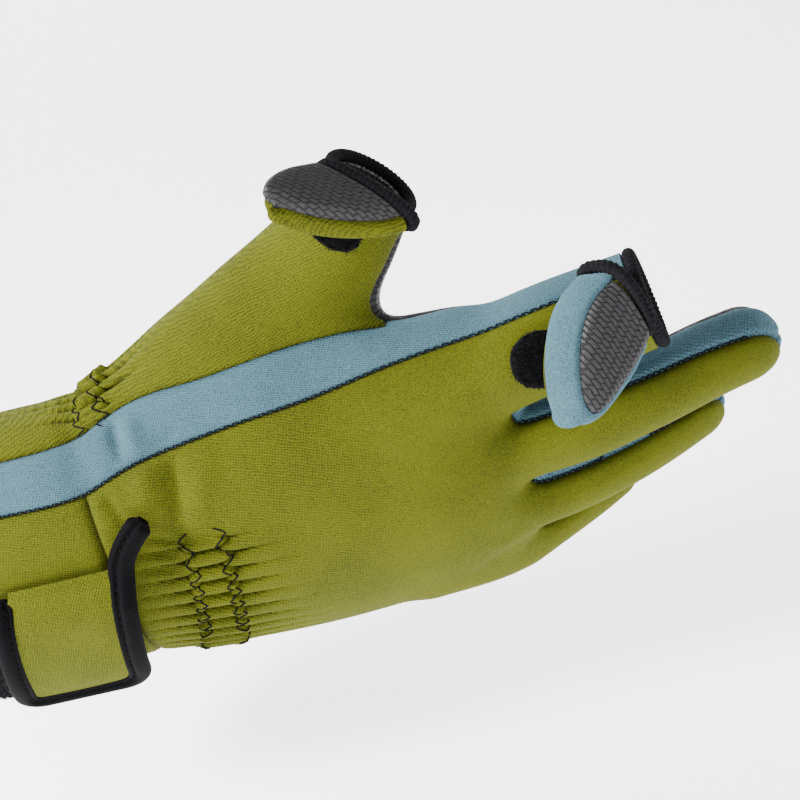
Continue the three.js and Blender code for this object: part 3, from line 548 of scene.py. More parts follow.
# %% [markdown]
# A seam's scalar is turned into millimetres by its slope on the mesh, and a cut keeps only the largest
# part, without crumbs that another finger may leave.


# %% Slopes and largest parts
def steepness(points, faces, level):
    """Length of the scalar's slope on the surface, averaged from the triangles round each vertex."""
    a, b, c = (points[faces[:, k]] for k in range(3))
    normal = np.cross(b - a, c - a)
    area2 = np.maximum((normal**2).sum(1, keepdims=True), 1e-9)
    la, lb, lc = (level[faces[:, k], None] for k in range(3))
    slope = np.cross(normal, la * (c - b) + lb * (a - c) + lc * (b - a)) / area2
    size = np.sqrt(area2[:, 0])
    total = np.zeros((len(points), 3))
    weight = np.zeros(len(points))
    for k in range(3):
        weight += np.bincount(faces[:, k], size, len(points))
        for axis in range(3):
            total[:, axis] += np.bincount(faces[:, k], size * slope[:, axis], len(points))
    return np.linalg.norm(total / np.maximum(weight, 1e-9)[:, None], axis=1)


def largest_part(faces, count, rounds=400):
    """Faces of the part of the mesh with the most faces, found by spreading the lowest label."""
    label = np.arange(count)
    for _ in range(rounds):
        lowest = label[faces].min(1)
        spread = label.copy()
        for k in range(3):
            np.minimum.at(spread, faces[:, k], lowest)
        spread = spread[spread]
        if (spread == label).all():
            break
        label = spread
    names, sizes = np.unique(label[faces[:, 0]], return_counts=True)
    return faces[label[faces[:, 0]] == names[np.argmax(sizes)]]


def cut_out(faces, cut, columns):
    """The largest part with a scalar above zero, with only the points it uses."""
    faces, columns = clip(faces, cut, columns)
    faces = largest_part(faces, len(columns["p"]))
    used, faces = np.unique(faces, return_inverse=True)
    return faces.reshape(-1, 3), {key: value[used] for key, value in columns.items()}


print("slope of x on the skin, at most:", steepness(skin, triangles, skin[:, 0]).max().round(2))

# %% [markdown]
# A cut sheet gets its thickness from an inner copy. Solidify would do the same, but the rim's edges
# are wanted here as well, to be marked sharp.


# %% Thickness and mesh objects
def thicken(points, normals, faces, wall):
    """Adds an inner copy a wall's thickness in and joins the two round every open edge."""
    count = len(points)
    edges = np.concatenate([faces[:, [0, 1]], faces[:, [1, 2]], faces[:, [2, 0]]])
    key = np.sort(edges, axis=1)
    _, first, times = np.unique(key, axis=0, return_index=True, return_counts=True)
    rim = edges[first[times == 1]]
    a, b = rim[:, 0], rim[:, 1]
    side = np.concatenate([np.stack([b, a, a + count], 1), np.stack([b, a + count, b + count], 1)])
    inner = faces[:, ::-1] + count
    wall = np.asarray(wall)
    inset = points - normals * (wall[:, None] if wall.ndim else wall)
    return np.concatenate([points, inset]), np.concatenate([faces, inner, side]), rim, count


def make(name, points, faces, cloth=None, rim=None, count=0):
    """A mesh object from arrays in millimetres, smooth but for its rim on both sides of the wall.

    cloth holds coordinates along and across the knit and how clear its rows are.
    """
    mesh = bpy.data.meshes.new(name)
    mesh.vertices.add(len(points))
    mesh.vertices.foreach_set("co", (points * 0.001).astype(np.float32).ravel())
    width = faces.shape[1]
    mesh.loops.add(faces.size)
    mesh.loops.foreach_set("vertex_index", faces.astype(np.int32).ravel())
    mesh.polygons.add(len(faces))
    mesh.polygons.foreach_set("loop_start", np.arange(0, faces.size, width, dtype=np.int32))
    mesh.polygons.foreach_set("use_smooth", np.ones(len(faces), bool))
    mesh.update(calc_edges=True)
    if cloth is not None:
        layer = mesh.attributes.new("cloth", "FLOAT_VECTOR", "POINT")
        layer.data.foreach_set("vector", cloth.astype(np.float32).ravel())
    if rim is not None and len(rim):
        ends = np.empty(len(mesh.edges) * 2, dtype=np.int32)
        mesh.edges.foreach_get("vertices", ends)
        ends = np.sort(ends.reshape(-1, 2), axis=1)
        wanted = np.sort(rim, axis=1)
        codes = ends[:, 0].astype(np.int64) * len(points) + ends[:, 1]
        rim_codes = np.concatenate([wanted, wanted + count])
        rim_codes = rim_codes[:, 0].astype(np.int64) * len(points) + rim_codes[:, 1]
        sharp = mesh.attributes.new("sharp_edge", "BOOLEAN", "EDGE")
        sharp.data.foreach_set("value", np.isin(codes, rim_codes))
    mesh.validate()
    item = bpy.data.objects.new(name, mesh)
    bpy.context.scene.collection.objects.link(item)
    return item


print("walls of the panels:", WALL, "mm")

# %% [markdown]
# ## Where the seams run
# Every seam is the zero level of a scalar. Cutting with scalars keeps each pair of neighbours on
# exactly the same line, which cutting with separate outlines would not.


# %% Seam lines
def line_at(finger, x):
    """Centre line of a finger at a distance from the hem, kept to the finger's ends."""
    start = finger["root"][0] * PALM_LENGTH
    reach = finger["rows"]["along"][-1] * finger["length"]
    return finger_centre(finger, np.clip((x - start) / reach, 0, 1))


KNUCKLES = [FINGERS[name] for name in ("index", "middle", "ring", "little")]


def finger_depth(x, z):
    """Depth of the centre lines at x, carried straight from one finger to the next by height."""
    lines = [line_at(finger, x) for finger in KNUCKLES]
    depth = lines[3][:, 1]
    for upper, lower in ((lines[2], lines[3]), (lines[1], lines[2]), (lines[0], lines[1])):
        t = (upper[:, 2] - z) / (upper[:, 2] - lower[:, 2])
        depth = np.where(z >= lower[:, 2], mix(upper[:, 1], lower[:, 1], np.maximum(t, 0)), depth)
    return depth


WEB_START, WEB_END = 0.955 * PALM_LENGTH, 1.01 * PALM_LENGTH
SIDE_SEAM, THUMB_SIDE_SEAM, THUMB_TWIST = 0.16 * CUFF_DEPTH, -0.14 * HAND_DEPTH, 0.45


def palm_seam(x, z):
    """Depth of the palm's seam round the glove's edge, over the thumb and along the fingers."""
    mid_z, half_z, _, _, curl = hand_at(x)
    edge = SIDE_SEAM + curl_at(mid_z, half_z, curl, z) - 0.25 * curl * smooth(0, 1, -z / 20)
    lean = smooth(0.62, 0.85, x / PALM_LENGTH) * smooth(10, 30, z)
    seam = mix(edge, THUMB_SIDE_SEAM, lean)
    base, tip = finger_centre(FINGERS["thumb"], np.array([0.0, 1.0]))
    along = tip - base
    across = ((x - base[0]) * along[2] - (z - base[2]) * along[0]) / np.hypot(along[0], along[2])
    thumb_seam = base[1] - THUMB_TWIST * np.clip(across, -THUMB_WIDTH / 2, THUMB_WIDTH / 2)
    near = smooth(0, 1, (z - mid_z - 0.8 * half_z) / (0.2 * half_z + 4))
    on_thumb = near * smooth(0.36, 0.5, x / PALM_LENGTH)
    seam = mix(seam, thumb_seam, on_thumb)
    on_finger = smooth(0.88 * PALM_LENGTH, WEB_END, x) * (1 - on_thumb)
    return mix(seam, finger_depth(x, z) + GUSSET_HEIGHT / 2, on_finger)


def gusset_opening(x, z):
    """Height of the strips between the fingers: none short of the webs and past the little finger."""
    little = line_at(FINGERS["little"], x)[:, 2]
    return smooth(WEB_START, WEB_END, x) * smooth(-4, 2, z - little) * GUSSET_HEIGHT


STRIPE = table(
    "at lower upper",
    (-0.05, -0.005, 0.195),
    (0.18, -0.005, 0.200),
    (0.30, 0.000, 0.215),
    (0.42, 0.075, 0.305),
    (0.55, 0.115, 0.310),
    (0.70, 0.150, 0.345),
    (0.85, 0.205, 0.375),
    (1.00, 0.235, 0.420),
    (1.25, 0.290, 0.480),
)
THUMB_CROTCH, CROTCH_HEIGHT = 0.845 * PALM_LENGTH, 0.49 * PALM_BREADTH
INDEX_START = -0.58 * PALM_BREADTH
LEAST_SLOPE = 0.35


def stripe_level(p, name):
    """Diagonal height y + z above one of the stripe's seams."""
    return p[:, 1] + p[:, 2] - eased(STRIPE, name, p[:, 0] / PALM_LENGTH) * PALM_BREADTH


def mouth_level(p, finger):
    """Distance short of the plane in which an open finger ends."""
    centre, direction, _, _ = finger_frame(finger, 1.0)
    return -(p - centre[0]) @ direction[0]


stripe_height = (STRIPE["upper"] - STRIPE["lower"]) * PALM_BREADTH
print("the stripe is", stripe_height.min().round(1), "to", stripe_height.max().round(1), "mm high")

# %% [markdown]
# A panel is where all of its own seams' scalars are above zero, so it is their least one. Dividing each
# scalar by its slope turns it into a distance in millimetres, which the seam valleys need later.


# %% Panels as scalars
def panel_levels(p):
    """Least of each panel's seam scalars: above zero on that panel, near the distance from its edge."""
    x, z = p[:, 0], p[:, 2]
    palm = p[:, 1] - palm_seam(x, z)
    gusset = palm + gusset_opening(x, z)
    lower, upper = stripe_level(p, "lower"), stripe_level(p, "upper")
    index_line = line_at(FINGERS["index"], x)[:, 2]
    above_index = z - mix(INDEX_START, index_line, smooth(0.8, 0.95, x / PALM_LENGTH))
    beside = np.minimum(x - THUMB_CROTCH, CROTCH_HEIGHT - z)
    palm, gusset, lower, upper, above_index = (
        level / np.maximum(steepness(p, triangles, level), LEAST_SLOPE)
        for level in (palm, gusset, lower, upper, above_index)
    )
    side = np.minimum(lower, above_index)
    rest = np.minimum(-palm, -side)
    back = np.minimum(rest, -gusset)
    strip = np.minimum(np.minimum(rest, gusset), x - WEB_START)
    levels = {
        "palm_panel": palm,
        "side_stripe": np.minimum(np.minimum(-palm, side), np.maximum(-upper, beside)),
        "thumb_panel": np.minimum(np.minimum(-palm, side), np.minimum(upper, -beside)),
        "cuff_panel": np.minimum(back, CUFF_LENGTH - x),
        "back_panel": np.minimum(back, x - CUFF_LENGTH),
    }
    order = ("index", "middle", "ring", "little")
    for one, two in zip(order, order[1:]):
        between = np.minimum(z - line_at(FINGERS[two], x)[:, 2], line_at(FINGERS[one], x)[:, 2] - z)
        levels[f"gusset_{one}_{two}"] = np.minimum(strip, between)
    return levels


FINE_ZONES = table(
    "middle reach low high front",
    (84.0, 21.0, -math.inf, 16.0, 4.0),
    (64.0, 10.0, 32.0, math.inf, 10.0),
)
gathered = np.zeros(len(skin), bool)
for middle, reach, bottom, top, front in zip(*FINE_ZONES.values()):
    near = (np.abs(skin[:, 0] - middle) < reach) & (skin[:, 1] < front)
    gathered |= near & (skin[:, 2] > bottom) & (skin[:, 2] < top)
skin, triangles = refine(skin, triangles, gathered[triangles].all(1))
skin, skin_normal = onto_skin(skin, 0.0, rounds=2)
print("refined skin:", len(skin), "points,", len(triangles), "triangles")

# %% [markdown]
# The hem is cut at x = 0, and the index finger and thumb at their mouths. A mouth's plane would also
# cut other fingers, so it only counts near its own finger.

# %% Hem and mouths
NEAR_INDEX, NEAR_THUMB, THUMB_SIDE = 4, 6, 60
levels = panel_levels(skin)
index_mouth = mouth_level(skin, FINGERS["index"])
thumb_mouth = mouth_level(skin, FINGERS["thumb"])
on_thumb_end = (finger_field(FINGERS["thumb"], skin) < NEAR_THUMB) & (skin[:, 2] > THUMB_SIDE)
on_index_end = finger_field(FINGERS["index"], skin) < NEAR_INDEX
inside_ends = skin[:, 0]
inside_ends = np.where(on_index_end, np.minimum(inside_ends, index_mouth), inside_ends)
inside_ends = np.where(on_thumb_end, np.minimum(inside_ends, thumb_mouth), inside_ends)
print("points past a mouth or the hem:", int((inside_ends < 0).sum()))

# %% [markdown]
# ## Folds and gathers
# The wrist is drawn in by two zigzag rows of elastic stitches. Between the rows the cloth stands up
# in lens-shaped puffs; outside them it runs out in creases that start at the rows' other corners. A
# cloth simulation could pucker it too, but it would not put each puff where the real one is.

# %% Gathers and folds
GATHERS = table(
    "first second pitch phase low high fade height",
    (0.452, 0.509, 5.2, 0.27, -1.75, 0.15, 9.0, 1.15),
    (0.335, 0.378, 7.4, 0.30, 1.04, 2.10, 7.0, 2.0),
)
FOLDS = table(
    "x1 angle1 x2 angle2 width depth",
    (86.0, 0.80, 81.5, 0.20, 3.0, -1.9),
    (77.5, 0.78, 73.5, 0.34, 4.0, 1.5),
    (70.0, 1.14, 71.0, 0.74, 2.2, -1.5),
    (75.0, 1.08, 76.0, 0.76, 3.0, 1.2),
    (62.0, 0.68, 67.0, 0.30, 2.0, -0.9),
    (95.0, 0.62, 88.0, 0.26, 3.4, 0.8),
    (176.0, -0.62, 160.0, -0.78, 3.5, -0.7),
    (178.0, -0.40, 166.0, -0.46, 3.0, -0.5),
    (80.0, 0.13, 69.0, 0.24, 1.5, -1.1),
    (79.0, 0.04, 68.0, 0.10, 1.5, -1.0),
    (79.0, -0.07, 67.0, -0.04, 1.5, -0.9),
)
FOLD_RADIUS = 46.0
TOOTH, ROW_WIDTH = 1.9, 0.6


def hand_angle(p):
    """Angle round the glove: 0 faces the back, a quarter turn the thumb side."""
    mid_z, half_z, mid_y, half_y, curl = hand_at(p[:, 0])
    dy = p[:, 1] - mid_y - curl_at(mid_z, half_z, curl, p[:, 2])
    return np.arctan2((p[:, 2] - mid_z) / half_z, -dy / half_y)


def zigzag(phase):
    """1 at whole numbers, -1 half way between: a triangle wave with its corners eased by a cosine."""
    return 0.6 * (4 * np.abs(phase - np.floor(phase) - 0.5) - 1) + 0.4 * np.cos(2 * np.pi * phase)


def gather_rows(angle, row):
    """Places of both zigzag rows and the phase of their teeth at an angle round the glove.

    Each row is place + lean +- TOOTH zigzag(phase), where the lean grows down the little finger's side.
    """
    run = FOLD_RADIUS * angle
    lean = 0.13 * np.minimum(run, 0) - 0.0015 * np.minimum(run, 0) ** 2
    phase = run / GATHERS["pitch"][row] - GATHERS["phase"][row]
    first = GATHERS["first"][row] * PALM_LENGTH + lean + TOOTH * zigzag(phase)
    second = GATHERS["second"][row] * PALM_LENGTH + 0.85 * lean - TOOTH * zigzag(phase)
    return first, second, phase


def gather_lift(p, row):
    """Puffs |sin| between the rows and creases |cos| outside them, pinched in along both rows."""
    angle = hand_angle(p)
    first, second, phase = gather_rows(angle, row)
    low_end, high_end = GATHERS["low"][row], GATHERS["high"][row]
    inside = smooth(low_end, low_end + 0.4, angle) * (1 - smooth(high_end - 0.10, high_end, angle))
    x = p[:, 0]
    between = smooth(-0.5, 0.5, x - first) * smooth(-0.5, 0.5, second - x)
    puff = np.abs(np.sin(np.pi * phase)) ** 0.5
    crease = np.abs(np.cos(np.pi * phase)) ** 0.5
    beyond = np.maximum(first - x, x - second)
    fade = np.exp(-np.maximum(beyond, 0) / GATHERS["fade"][row])
    pinch = np.exp(-(((x - first) / ROW_WIDTH) ** 2)) + np.exp(-(((x - second) / ROW_WIDTH) ** 2))
    shape = between * (2.9 * puff - 1.5) + (1 - between) * fade * (2.6 * crease - 1.9) - 1.0 * pinch
    return inside * GATHERS["height"][row] * shape


def fold_lift(p):
    """Sum of depth e^-(d / width)^2 over soft folds, d the distance to each fold's line."""
    place = np.stack([p[:, 0], FOLD_RADIUS * hand_angle(p)], 1)
    total = np.zeros(len(p))
    for x1, angle1, x2, angle2, width, depth in zip(*FOLDS.values()):
        start = np.array([x1, FOLD_RADIUS * angle1])
        along = np.array([x2, FOLD_RADIUS * angle2]) - start
        share = np.clip((place - start) @ along / (along @ along), 0, 1)
        distance = np.linalg.norm(place - start - share[:, None] * along, axis=1)
        swell = 0.35 + 0.65 * np.sin(np.pi * np.clip(share, 0.05, 0.95))
        total += depth * swell * np.exp(-((distance / width) ** 2))
    return total


PAST_SEAM = 4
on_back = skin[:, 1] < palm_seam(skin[:, 0], skin[:, 2]) + PAST_SEAM
gathers = on_back * (gather_lift(skin, 0) + gather_lift(skin, 1))
lift = gathers + on_back * fold_lift(skin)
print("gathers lift the cloth by", round(float(lift.min()), 2), "to", round(float(lift.max()), 2), "mm")

# %% [markdown]
# ## Materials
# Every finish is worked out from the place on the cloth. A wrapper round a socket lets the shader
# maths be written as plain sums, and one method adds any other node.


# %% Shader maths as sums
class Value:
    """A number in a material: wraps a socket so that + - * and / add maths nodes."""

    def __init__(self, look, socket):
        self.look, self.socket = look, socket

    def _math(self, operation, a, b=None):
        return self.look.math(operation, a, b)

    def __add__(self, other):
        return self._math("ADD", self, other)

    __radd__ = __add__

    def __sub__(self, other):
        return self._math("SUBTRACT", self, other)

    def __rsub__(self, other):
        return self._math("SUBTRACT", other, self)

    def __mul__(self, other):
        return self._math("MULTIPLY", self, other)

    __rmul__ = __mul__

    def __truediv__(self, other):
        return self._math("DIVIDE", self, other)

    def __rtruediv__(self, other):
        return self._math("DIVIDE", other, self)

    def sine(self):
        return self._math("SINE", self)

    def absolute(self):
        return self._math("ABSOLUTE", self)

    def step(self, low, high):
        """Smooth rise from 0 at low to 1 at high."""
        node = self.look.node("ShaderNodeMapRange", dict(interpolation_type="SMOOTHSTEP"),
                              {"Value": self, "From Min": low, "From Max": high})
        return Value(self.look, node.outputs["Result"])


print("a value's own calls:", ", ".join(name for name in vars(Value) if not name.startswith("_")))

# %% [markdown]
# A look holds one material. Each of its calls adds a node or sets a socket of the main shader.


# %% Material builder
class Look:
    """A material and the few calls that build it."""

    def __init__(self, name, roughness, **sockets):
        self.material = bpy.data.materials.new(name)
        self.material.use_nodes = True
        self.tree = self.material.node_tree
        self.shader = self.tree.nodes["Principled BSDF"]
        self.put(self.shader, "Roughness", roughness)
        for socket, value in sockets.items():
            self.put(self.shader, socket.replace("_", " "), value)

    def put(self, node, name, value):
        """Links a value to an input, or sets the input to it."""
        socket = node.inputs[name]
        value = value.socket if isinstance(value, Value) else value
        if isinstance(value, bpy.types.NodeSocket):
            self.tree.links.new(value, socket)
        else:
            socket.default_value = value

    def node(self, kind, settings=None, values=None):
        """Adds a node of a kind, sets its settings first and then its inputs."""
        node = self.tree.nodes.new(kind)
        for key, value in (settings or {}).items():
            setattr(node, key, value)
        for key, value in (values or {}).items():
            self.put(node, key, value)
        return node

    def math(self, operation, a, b=None):
        """A maths node as a value."""
        values = {0: a} if b is None else {0: a, 1: b}
        return Value(self, self.node("ShaderNodeMath", dict(operation=operation), values).outputs[0])

    def place(self):
        """Position on the object in millimetres."""
        metres = self.node("ShaderNodeTexCoord").outputs["Object"]
        scaled = self.node("ShaderNodeVectorMath", dict(operation="SCALE"), {0: metres, "Scale": 1000.0})
        return scaled.outputs[0]

    def cloth(self):
        """Coordinates along and across the knit, in millimetres, as a vector."""
        return self.node("ShaderNodeAttribute", dict(attribute_name="cloth")).outputs["Vector"]

    def parts(self, vector):
        """The three numbers of a vector."""
        node = self.node("ShaderNodeSeparateXYZ", None, {0: vector})
        return [Value(self, out) for out in node.outputs]

    def noise(self, vector, scale, detail=2.0, roughness=0.5):
        """Soft noise from 0 to 1, with about as many humps in a millimetre as the scale says."""
        node = self.node("ShaderNodeTexNoise", None,
                         {"Vector": vector, "Scale": scale, "Detail": detail, "Roughness": roughness})
        return Value(self, node.outputs[0])

    def blend(self, factor, a, b):
        """Colour a where the factor is 0, b where it is 1."""
        node = self.node("ShaderNodeMix", dict(data_type="RGBA"), {"Factor": factor})
        for name, colour in (("A", a), ("B", b)):
            socket = [s for s in node.inputs if s.name == name and s.type == "RGBA"][0]
            if isinstance(colour, bpy.types.NodeSocket):
                self.tree.links.new(colour, socket)
            else:
                socket.default_value = (*colour, 1.0)
        return [s for s in node.outputs if s.type == "RGBA"][0]

    def colour(self, value):
        """Sets the main shader's colour to a link or to three numbers."""
        value = value if isinstance(value, bpy.types.NodeSocket) else (*value, 1.0)
        self.put(self.shader, "Base Color", value)

    def bump(self, height, strength, distance):
        """Height in units of the distance (metres), felt by the shader's normal."""
        values = {"Height": height, "Strength": strength, "Distance": distance}
        self.put(self.shader, "Normal", self.node("ShaderNodeBump", None, values).outputs[0])


print("a look's calls:", ", ".join(name for name in vars(Look) if not name.startswith("_")))

# %% [markdown]
# The outer cloth is a fine jersey on foam. A picture of knit could be laid over it; here two crossed
# sine waves along and across the knit make the loops, and noise makes the flecked yarn. Painted shade
# darkens the colour at the bottom of creases and seam valleys.


# %% Knit
KNIT_ROW, KNIT_LOOP, KNIT_SLANT = 0.78, 0.80, (0.94, 0.34)


def knit(name, light, dark):
    """Fine jersey laminated to foam: slanting rows of loops, flecked yarn, a faint sheen, painted shade in
    creases.
    """
    look = Look(name, roughness=0.9, Sheen_Weight=0.06, Sheen_Roughness=0.5)
    look.shader.inputs["Sheen Tint"].default_value = (*light, 1.0)
    look.shader.inputs["Specular IOR Level"].default_value = 0.12
    along, across, woven = look.parts(look.cloth())
    place = look.place()
    wander = look.noise(place, 0.35, 2.0)
    c, s = KNIT_SLANT
    rows = ((across * c + along * s + wander * 1.4) * (2 * math.pi / KNIT_ROW)).sine()
    loops = ((along * c - across * s + wander * 1.1) * (2 * math.pi / KNIT_LOOP)).sine()
    yarn = look.noise(place, 2.9, 2.0, 0.7)
    patch = look.noise(place, 0.045, 2.0)
    weave = (rows * 0.09 + loops * 0.05) * woven
    # Painted shade: the crease attribute darkens the colour where the cloth is sunk in creases and seam
    # valleys.
    crease = Value(look, look.node("ShaderNodeAttribute", dict(attribute_name="crease")).outputs["Fac"])
    fleck = yarn + weave + (patch - 0.5) * 0.2 - crease * 0.45
    look.colour(look.blend(fleck.step(0.16, 0.72), dark, light))
    look.bump(yarn * 0.9 + weave * 4.0, 0.55, 0.00028)
    return look.material


print("knit rows every", KNIT_ROW, "mm")

# %% [markdown]
# The palm's coating is pressed into staggered pads. The pads repeat by the fractional part of a
# coordinate, and each row is shifted by half a pad. The blacks differ only in grain and ribs.


# %% Grip and plain blacks
def grip(name, pitch_x, pitch_y, slant, deep):
    """Embossed coated fabric: staggered dashes pressed in between raised pads."""
    look = Look(name, roughness=0.6)
    look.shader.inputs["Specular IOR Level"].default_value = 0.22
    along, across, _ = look.parts(look.cloth())
    stray = look.noise(look.place(), 0.45, 2.0) - 0.5
    u = along / pitch_x + across * slant + stray * 0.5
    v = across / pitch_y + stray * 0.35
    row = look.math("FLOOR", v)
    u = u + row * 0.5
    cell_u = (look.math("FRACT", u) - 0.5).absolute()
    cell_v = (look.math("FRACT", v) - 0.5).absolute()
    pad = (0.5 - cell_u).step(0.02, 0.16) * (0.5 - cell_v).step(0.02, 0.22)
    fine = look.noise(look.place(), 2.2, 3.0)
    tone = pad * 0.38 + fine * 0.6
    look.colour(look.blend(tone.step(0.15, 1.0), (0.006, 0.006, 0.007), (0.036, 0.035, 0.038)))
    look.put(look.shader, "Roughness", 0.62 - pad * 0.16 + fine * 0.08)
    look.bump(pad + fine * 0.12, 0.8, deep)
    return look.material


def plain_black(name, shade, strength, scale):
    """Black yarn or pile: soft, matt, with a fine fibre grain."""
    look = Look(name, roughness=0.92)
    look.shader.inputs["Specular IOR Level"].default_value = 0.05
    grain = look.noise(look.place(), scale, 3.0, 0.6)
    low = tuple(c * 0.45 for c in shade)
    look.colour(look.blend(grain.step(0.3, 0.75), low, shade))
    look.bump(grain, strength, 0.0002)
    return look.material


def ribbed_black(name, pitch):
    """Knitted edge tape: diagonal ribs across the tape."""
    look = Look(name, roughness=0.8)
    look.shader.inputs["Specular IOR Level"].default_value = 0.05
    along, across, _ = look.parts(look.cloth())
    rib = ((along + across * 0.45) * (2 * math.pi / pitch)).sine()
    grain = look.noise(look.place(), 2.0, 3.0)
    tone = rib * 0.25 + grain * 0.8
    look.colour(look.blend(tone.step(0.1, 0.9), (0.001, 0.001, 0.0015), (0.004, 0.004, 0.005)))
    look.bump(rib * 0.5 + grain * 0.4, 0.35, 0.0001)
    return look.material


LOOKS = {
    "olive": knit("olive neoprene", (0.098, 0.109, 0.005), (0.018, 0.020, 0.001)),
    "slate": knit("slate neoprene", (0.080, 0.160, 0.198), (0.016, 0.040, 0.054)),
    "palm": grip("palm grip", 2.8, 1.7, 0.0, 0.00022),
    "thumb grip": grip("thumb cap grip", 2.5, 1.6, 0.0, 0.00026),
    "index grip": grip("index cap grip", 3.0, 1.5, 0.35, 0.0004),
    "edge": plain_black("black stitched edge", (0.012, 0.012, 0.014), 0.5, 1.6),
    "pile": plain_black("black pile", (0.014, 0.014, 0.016), 0.8, 1.2),
    "tape": ribbed_black("black edge tape", 0.62),
    "thread": plain_black("black thread", (0.010, 0.010, 0.012), 0.4, 3.0),
}
print("finishes:", ", ".join(LOOKS))

# %% [markdown]
# ## Panels
# Each panel is cut out, lifted by the folds, and sunk along its seams: foam-backed cloth stands up
# beside a stitch line, so the lift is a narrow valley with a low puff beside it.


# %% Seams, bodies and knit directions
VALLEY_DEPTH, VALLEY_WIDTH = 0.85, 0.9
PUFF_HEIGHT, PUFF_PLACE, PUFF_WIDTH = 0.18, 3.2, 2.2
BLUR_START, BLUR_END = 125, 165
THUMB_KNIT_TURN = 0.62


def seam_profile(distance):
    """-depth e^-(d / width)^2 + height e^-((d - place) / width)^2 for a distance d from the seam."""
    valley = -VALLEY_DEPTH * np.exp(-((distance / VALLEY_WIDTH) ** 2))
    return valley + PUFF_HEIGHT * np.exp(-(((distance - PUFF_PLACE) / PUFF_WIDTH) ** 2))


def paint_crease_shade(item, depth):
    """Stores painted shade: how far each point is sunk, 0 level with the cloth, 1 at the bottom of a crease.
    """
    layer = item.data.attributes.new("crease", "FLOAT", "POINT")
    layer.data.foreach_set("value", smooth(0.15, 1.7, depth).astype(np.float32))


def finish_piece(item, look, node):
    """Material, body, and the solid it stands for, which is hidden."""
    item.data.materials.append(LOOKS[look])
    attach(item, "root")
    if node:
        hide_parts(node)
    return item


def cloth_coordinates(name, p):
    """Along and across the knit and how clear its rows are: they blur where the fingers part."""
    x, y, z = p.T
    clear = np.ones(len(p))
    if name in ("back_panel", "cuff_panel"):
        return np.stack([x, hand_angle(p) * FOLD_RADIUS, 1 - smooth(BLUR_START, BLUR_END, x)], 1)
    if name == "thumb_panel":
        c, s = math.cos(THUMB_KNIT_TURN), math.sin(THUMB_KNIT_TURN)
        return np.stack([c * x + s * z, c * z - s * x, clear], 1)
    across = {"side_stripe": y + z, "palm_panel": z}
    return np.stack([x, across.get(name, y), clear], 1)


print("deepest seam valley:", round(float(seam_profile(np.linspace(0, 9, 90)).min()), 2), "mm")

# %% [markdown]
# Each panel keeps a hair's breadth from its neighbours. The levels near zero are pushed off it, so that
# the cut leaves no sliver triangles. Folds and gathers fade out towards a seam, because its stitches
# hold the cloth flat there.

# %% The eight panels
SEAM_GAP, END_GAP, NUDGE, HELD_WIDTH = 0.06, 0.01, 0.03, 5
PANEL_LOOKS = {
    "palm_panel": ("palm", "black_grip"),
    "back_panel": ("olive", "olive_neoprene"),
    "cuff_panel": ("olive", "olive_neoprene"),
    "thumb_panel": ("olive", "olive_neoprene"),
    "side_stripe": ("slate", "slate_neoprene"),
    "gusset_index_middle": ("slate", "slate_neoprene"),
    "gusset_middle_ring": ("slate", "slate_neoprene"),
    "gusset_ring_little": ("slate", "slate_neoprene"),
}
for name, (look, slot_name) in PANEL_LOOKS.items():
    level = levels[name]
    cut = np.minimum(level - SEAM_GAP, inside_ends - END_GAP)
    cut = np.where(np.abs(cut) < NUDGE, np.where(cut < 0, -NUDGE, NUDGE), cut)
    columns = dict(p=skin, n=skin_normal, level=level, lift=lift, gathers=gathers)
    faces, columns = cut_out(triangles, cut, columns)
    normal = unit(columns["n"])
    held, seam = smooth(0, HELD_WIDTH, columns["level"]), seam_profile(np.maximum(columns["level"], 0))
    raised = columns["lift"] * held + seam
    sunk = -columns["gathers"] * held - seam
    points = columns["p"] + normal * raised[:, None]
    cloth = cloth_coordinates(name, columns["p"])
    shell, shell_faces, rim, count = thicken(points, normal, faces, WALL)
    item = make(name + "_cloth", shell, shell_faces, np.concatenate([cloth, cloth]), rim, count)
    # Painted shade: the sunk depth darkens the knit in creases and seam valleys.
    paint_crease_shade(item, np.concatenate([sunk, sunk]))
    finish_piece(item, look, name)
    print(name, len(shell_faces), "triangles")

# %% [markdown]
# ## Folded-back finger ends
# Each end is a flat pouch lying on the back of its finger. Its skin is one closed sleeve, laid out
# on a grid of rings, and then cut into face, band and back at fixed shares of its thickness. A
# sculpted blob would look softer but would lose the flat black face with its crisp edge.


# %% Grids that close round their sides
def vertex_normals(points, faces):
    """Sum of the face normals, weighted by area, round each vertex."""
    a, b, c = (points[faces[:, k]] for k in range(3))
    normal = np.cross(b - a, c - a)
    total = np.stack([
        sum(np.bincount(faces[:, k], normal[:, axis], len(points)) for k in range(3)) for axis in range(3)
    ], 1)
    return unit(total)


def outward(points, faces):
    """Faces turned so that the closed mesh holds a positive volume."""
    middle = points.mean(0)
    a, b, c = (points[faces[:, k]] - middle for k in range(3))
    return faces if np.einsum("ij,ij->i", a, np.cross(b, c)).sum() > 0 else faces[:, ::-1]


def tube_faces(rows, sides, closed=False):
    """Two triangles a cell on a grid that closes round its sides, and along its rows if asked."""
    i, j = np.meshgrid(np.arange(rows if closed else rows - 1), np.arange(sides), indexing="ij")
    following, beside = (i + 1) % rows, (j + 1) % sides
    a, b = i * sides + j, i * sides + beside
    c, d = following * sides + beside, following * sides + j
    return np.concatenate([np.stack([a, b, c], -1).reshape(-1, 3), np.stack([a, c, d], -1).reshape(-1, 3)])


def squared(value, exponent):
    """sign(v) |v|^(2 / e): squares an ellipse off as the exponent grows past 2."""
    return np.sign(value) * np.abs(value) ** (2 / exponent)


print("a tube of 3 rings and 4 sides has", len(tube_faces(3, 4)), "triangles")

# %% [markdown]
# A pouch's table gives the two ends of its width and its thickness at shares of its length, from just
# before the mouth to the tip. Its three directions are shares of the finger's own directions, so it
# stays on its finger when that moves.

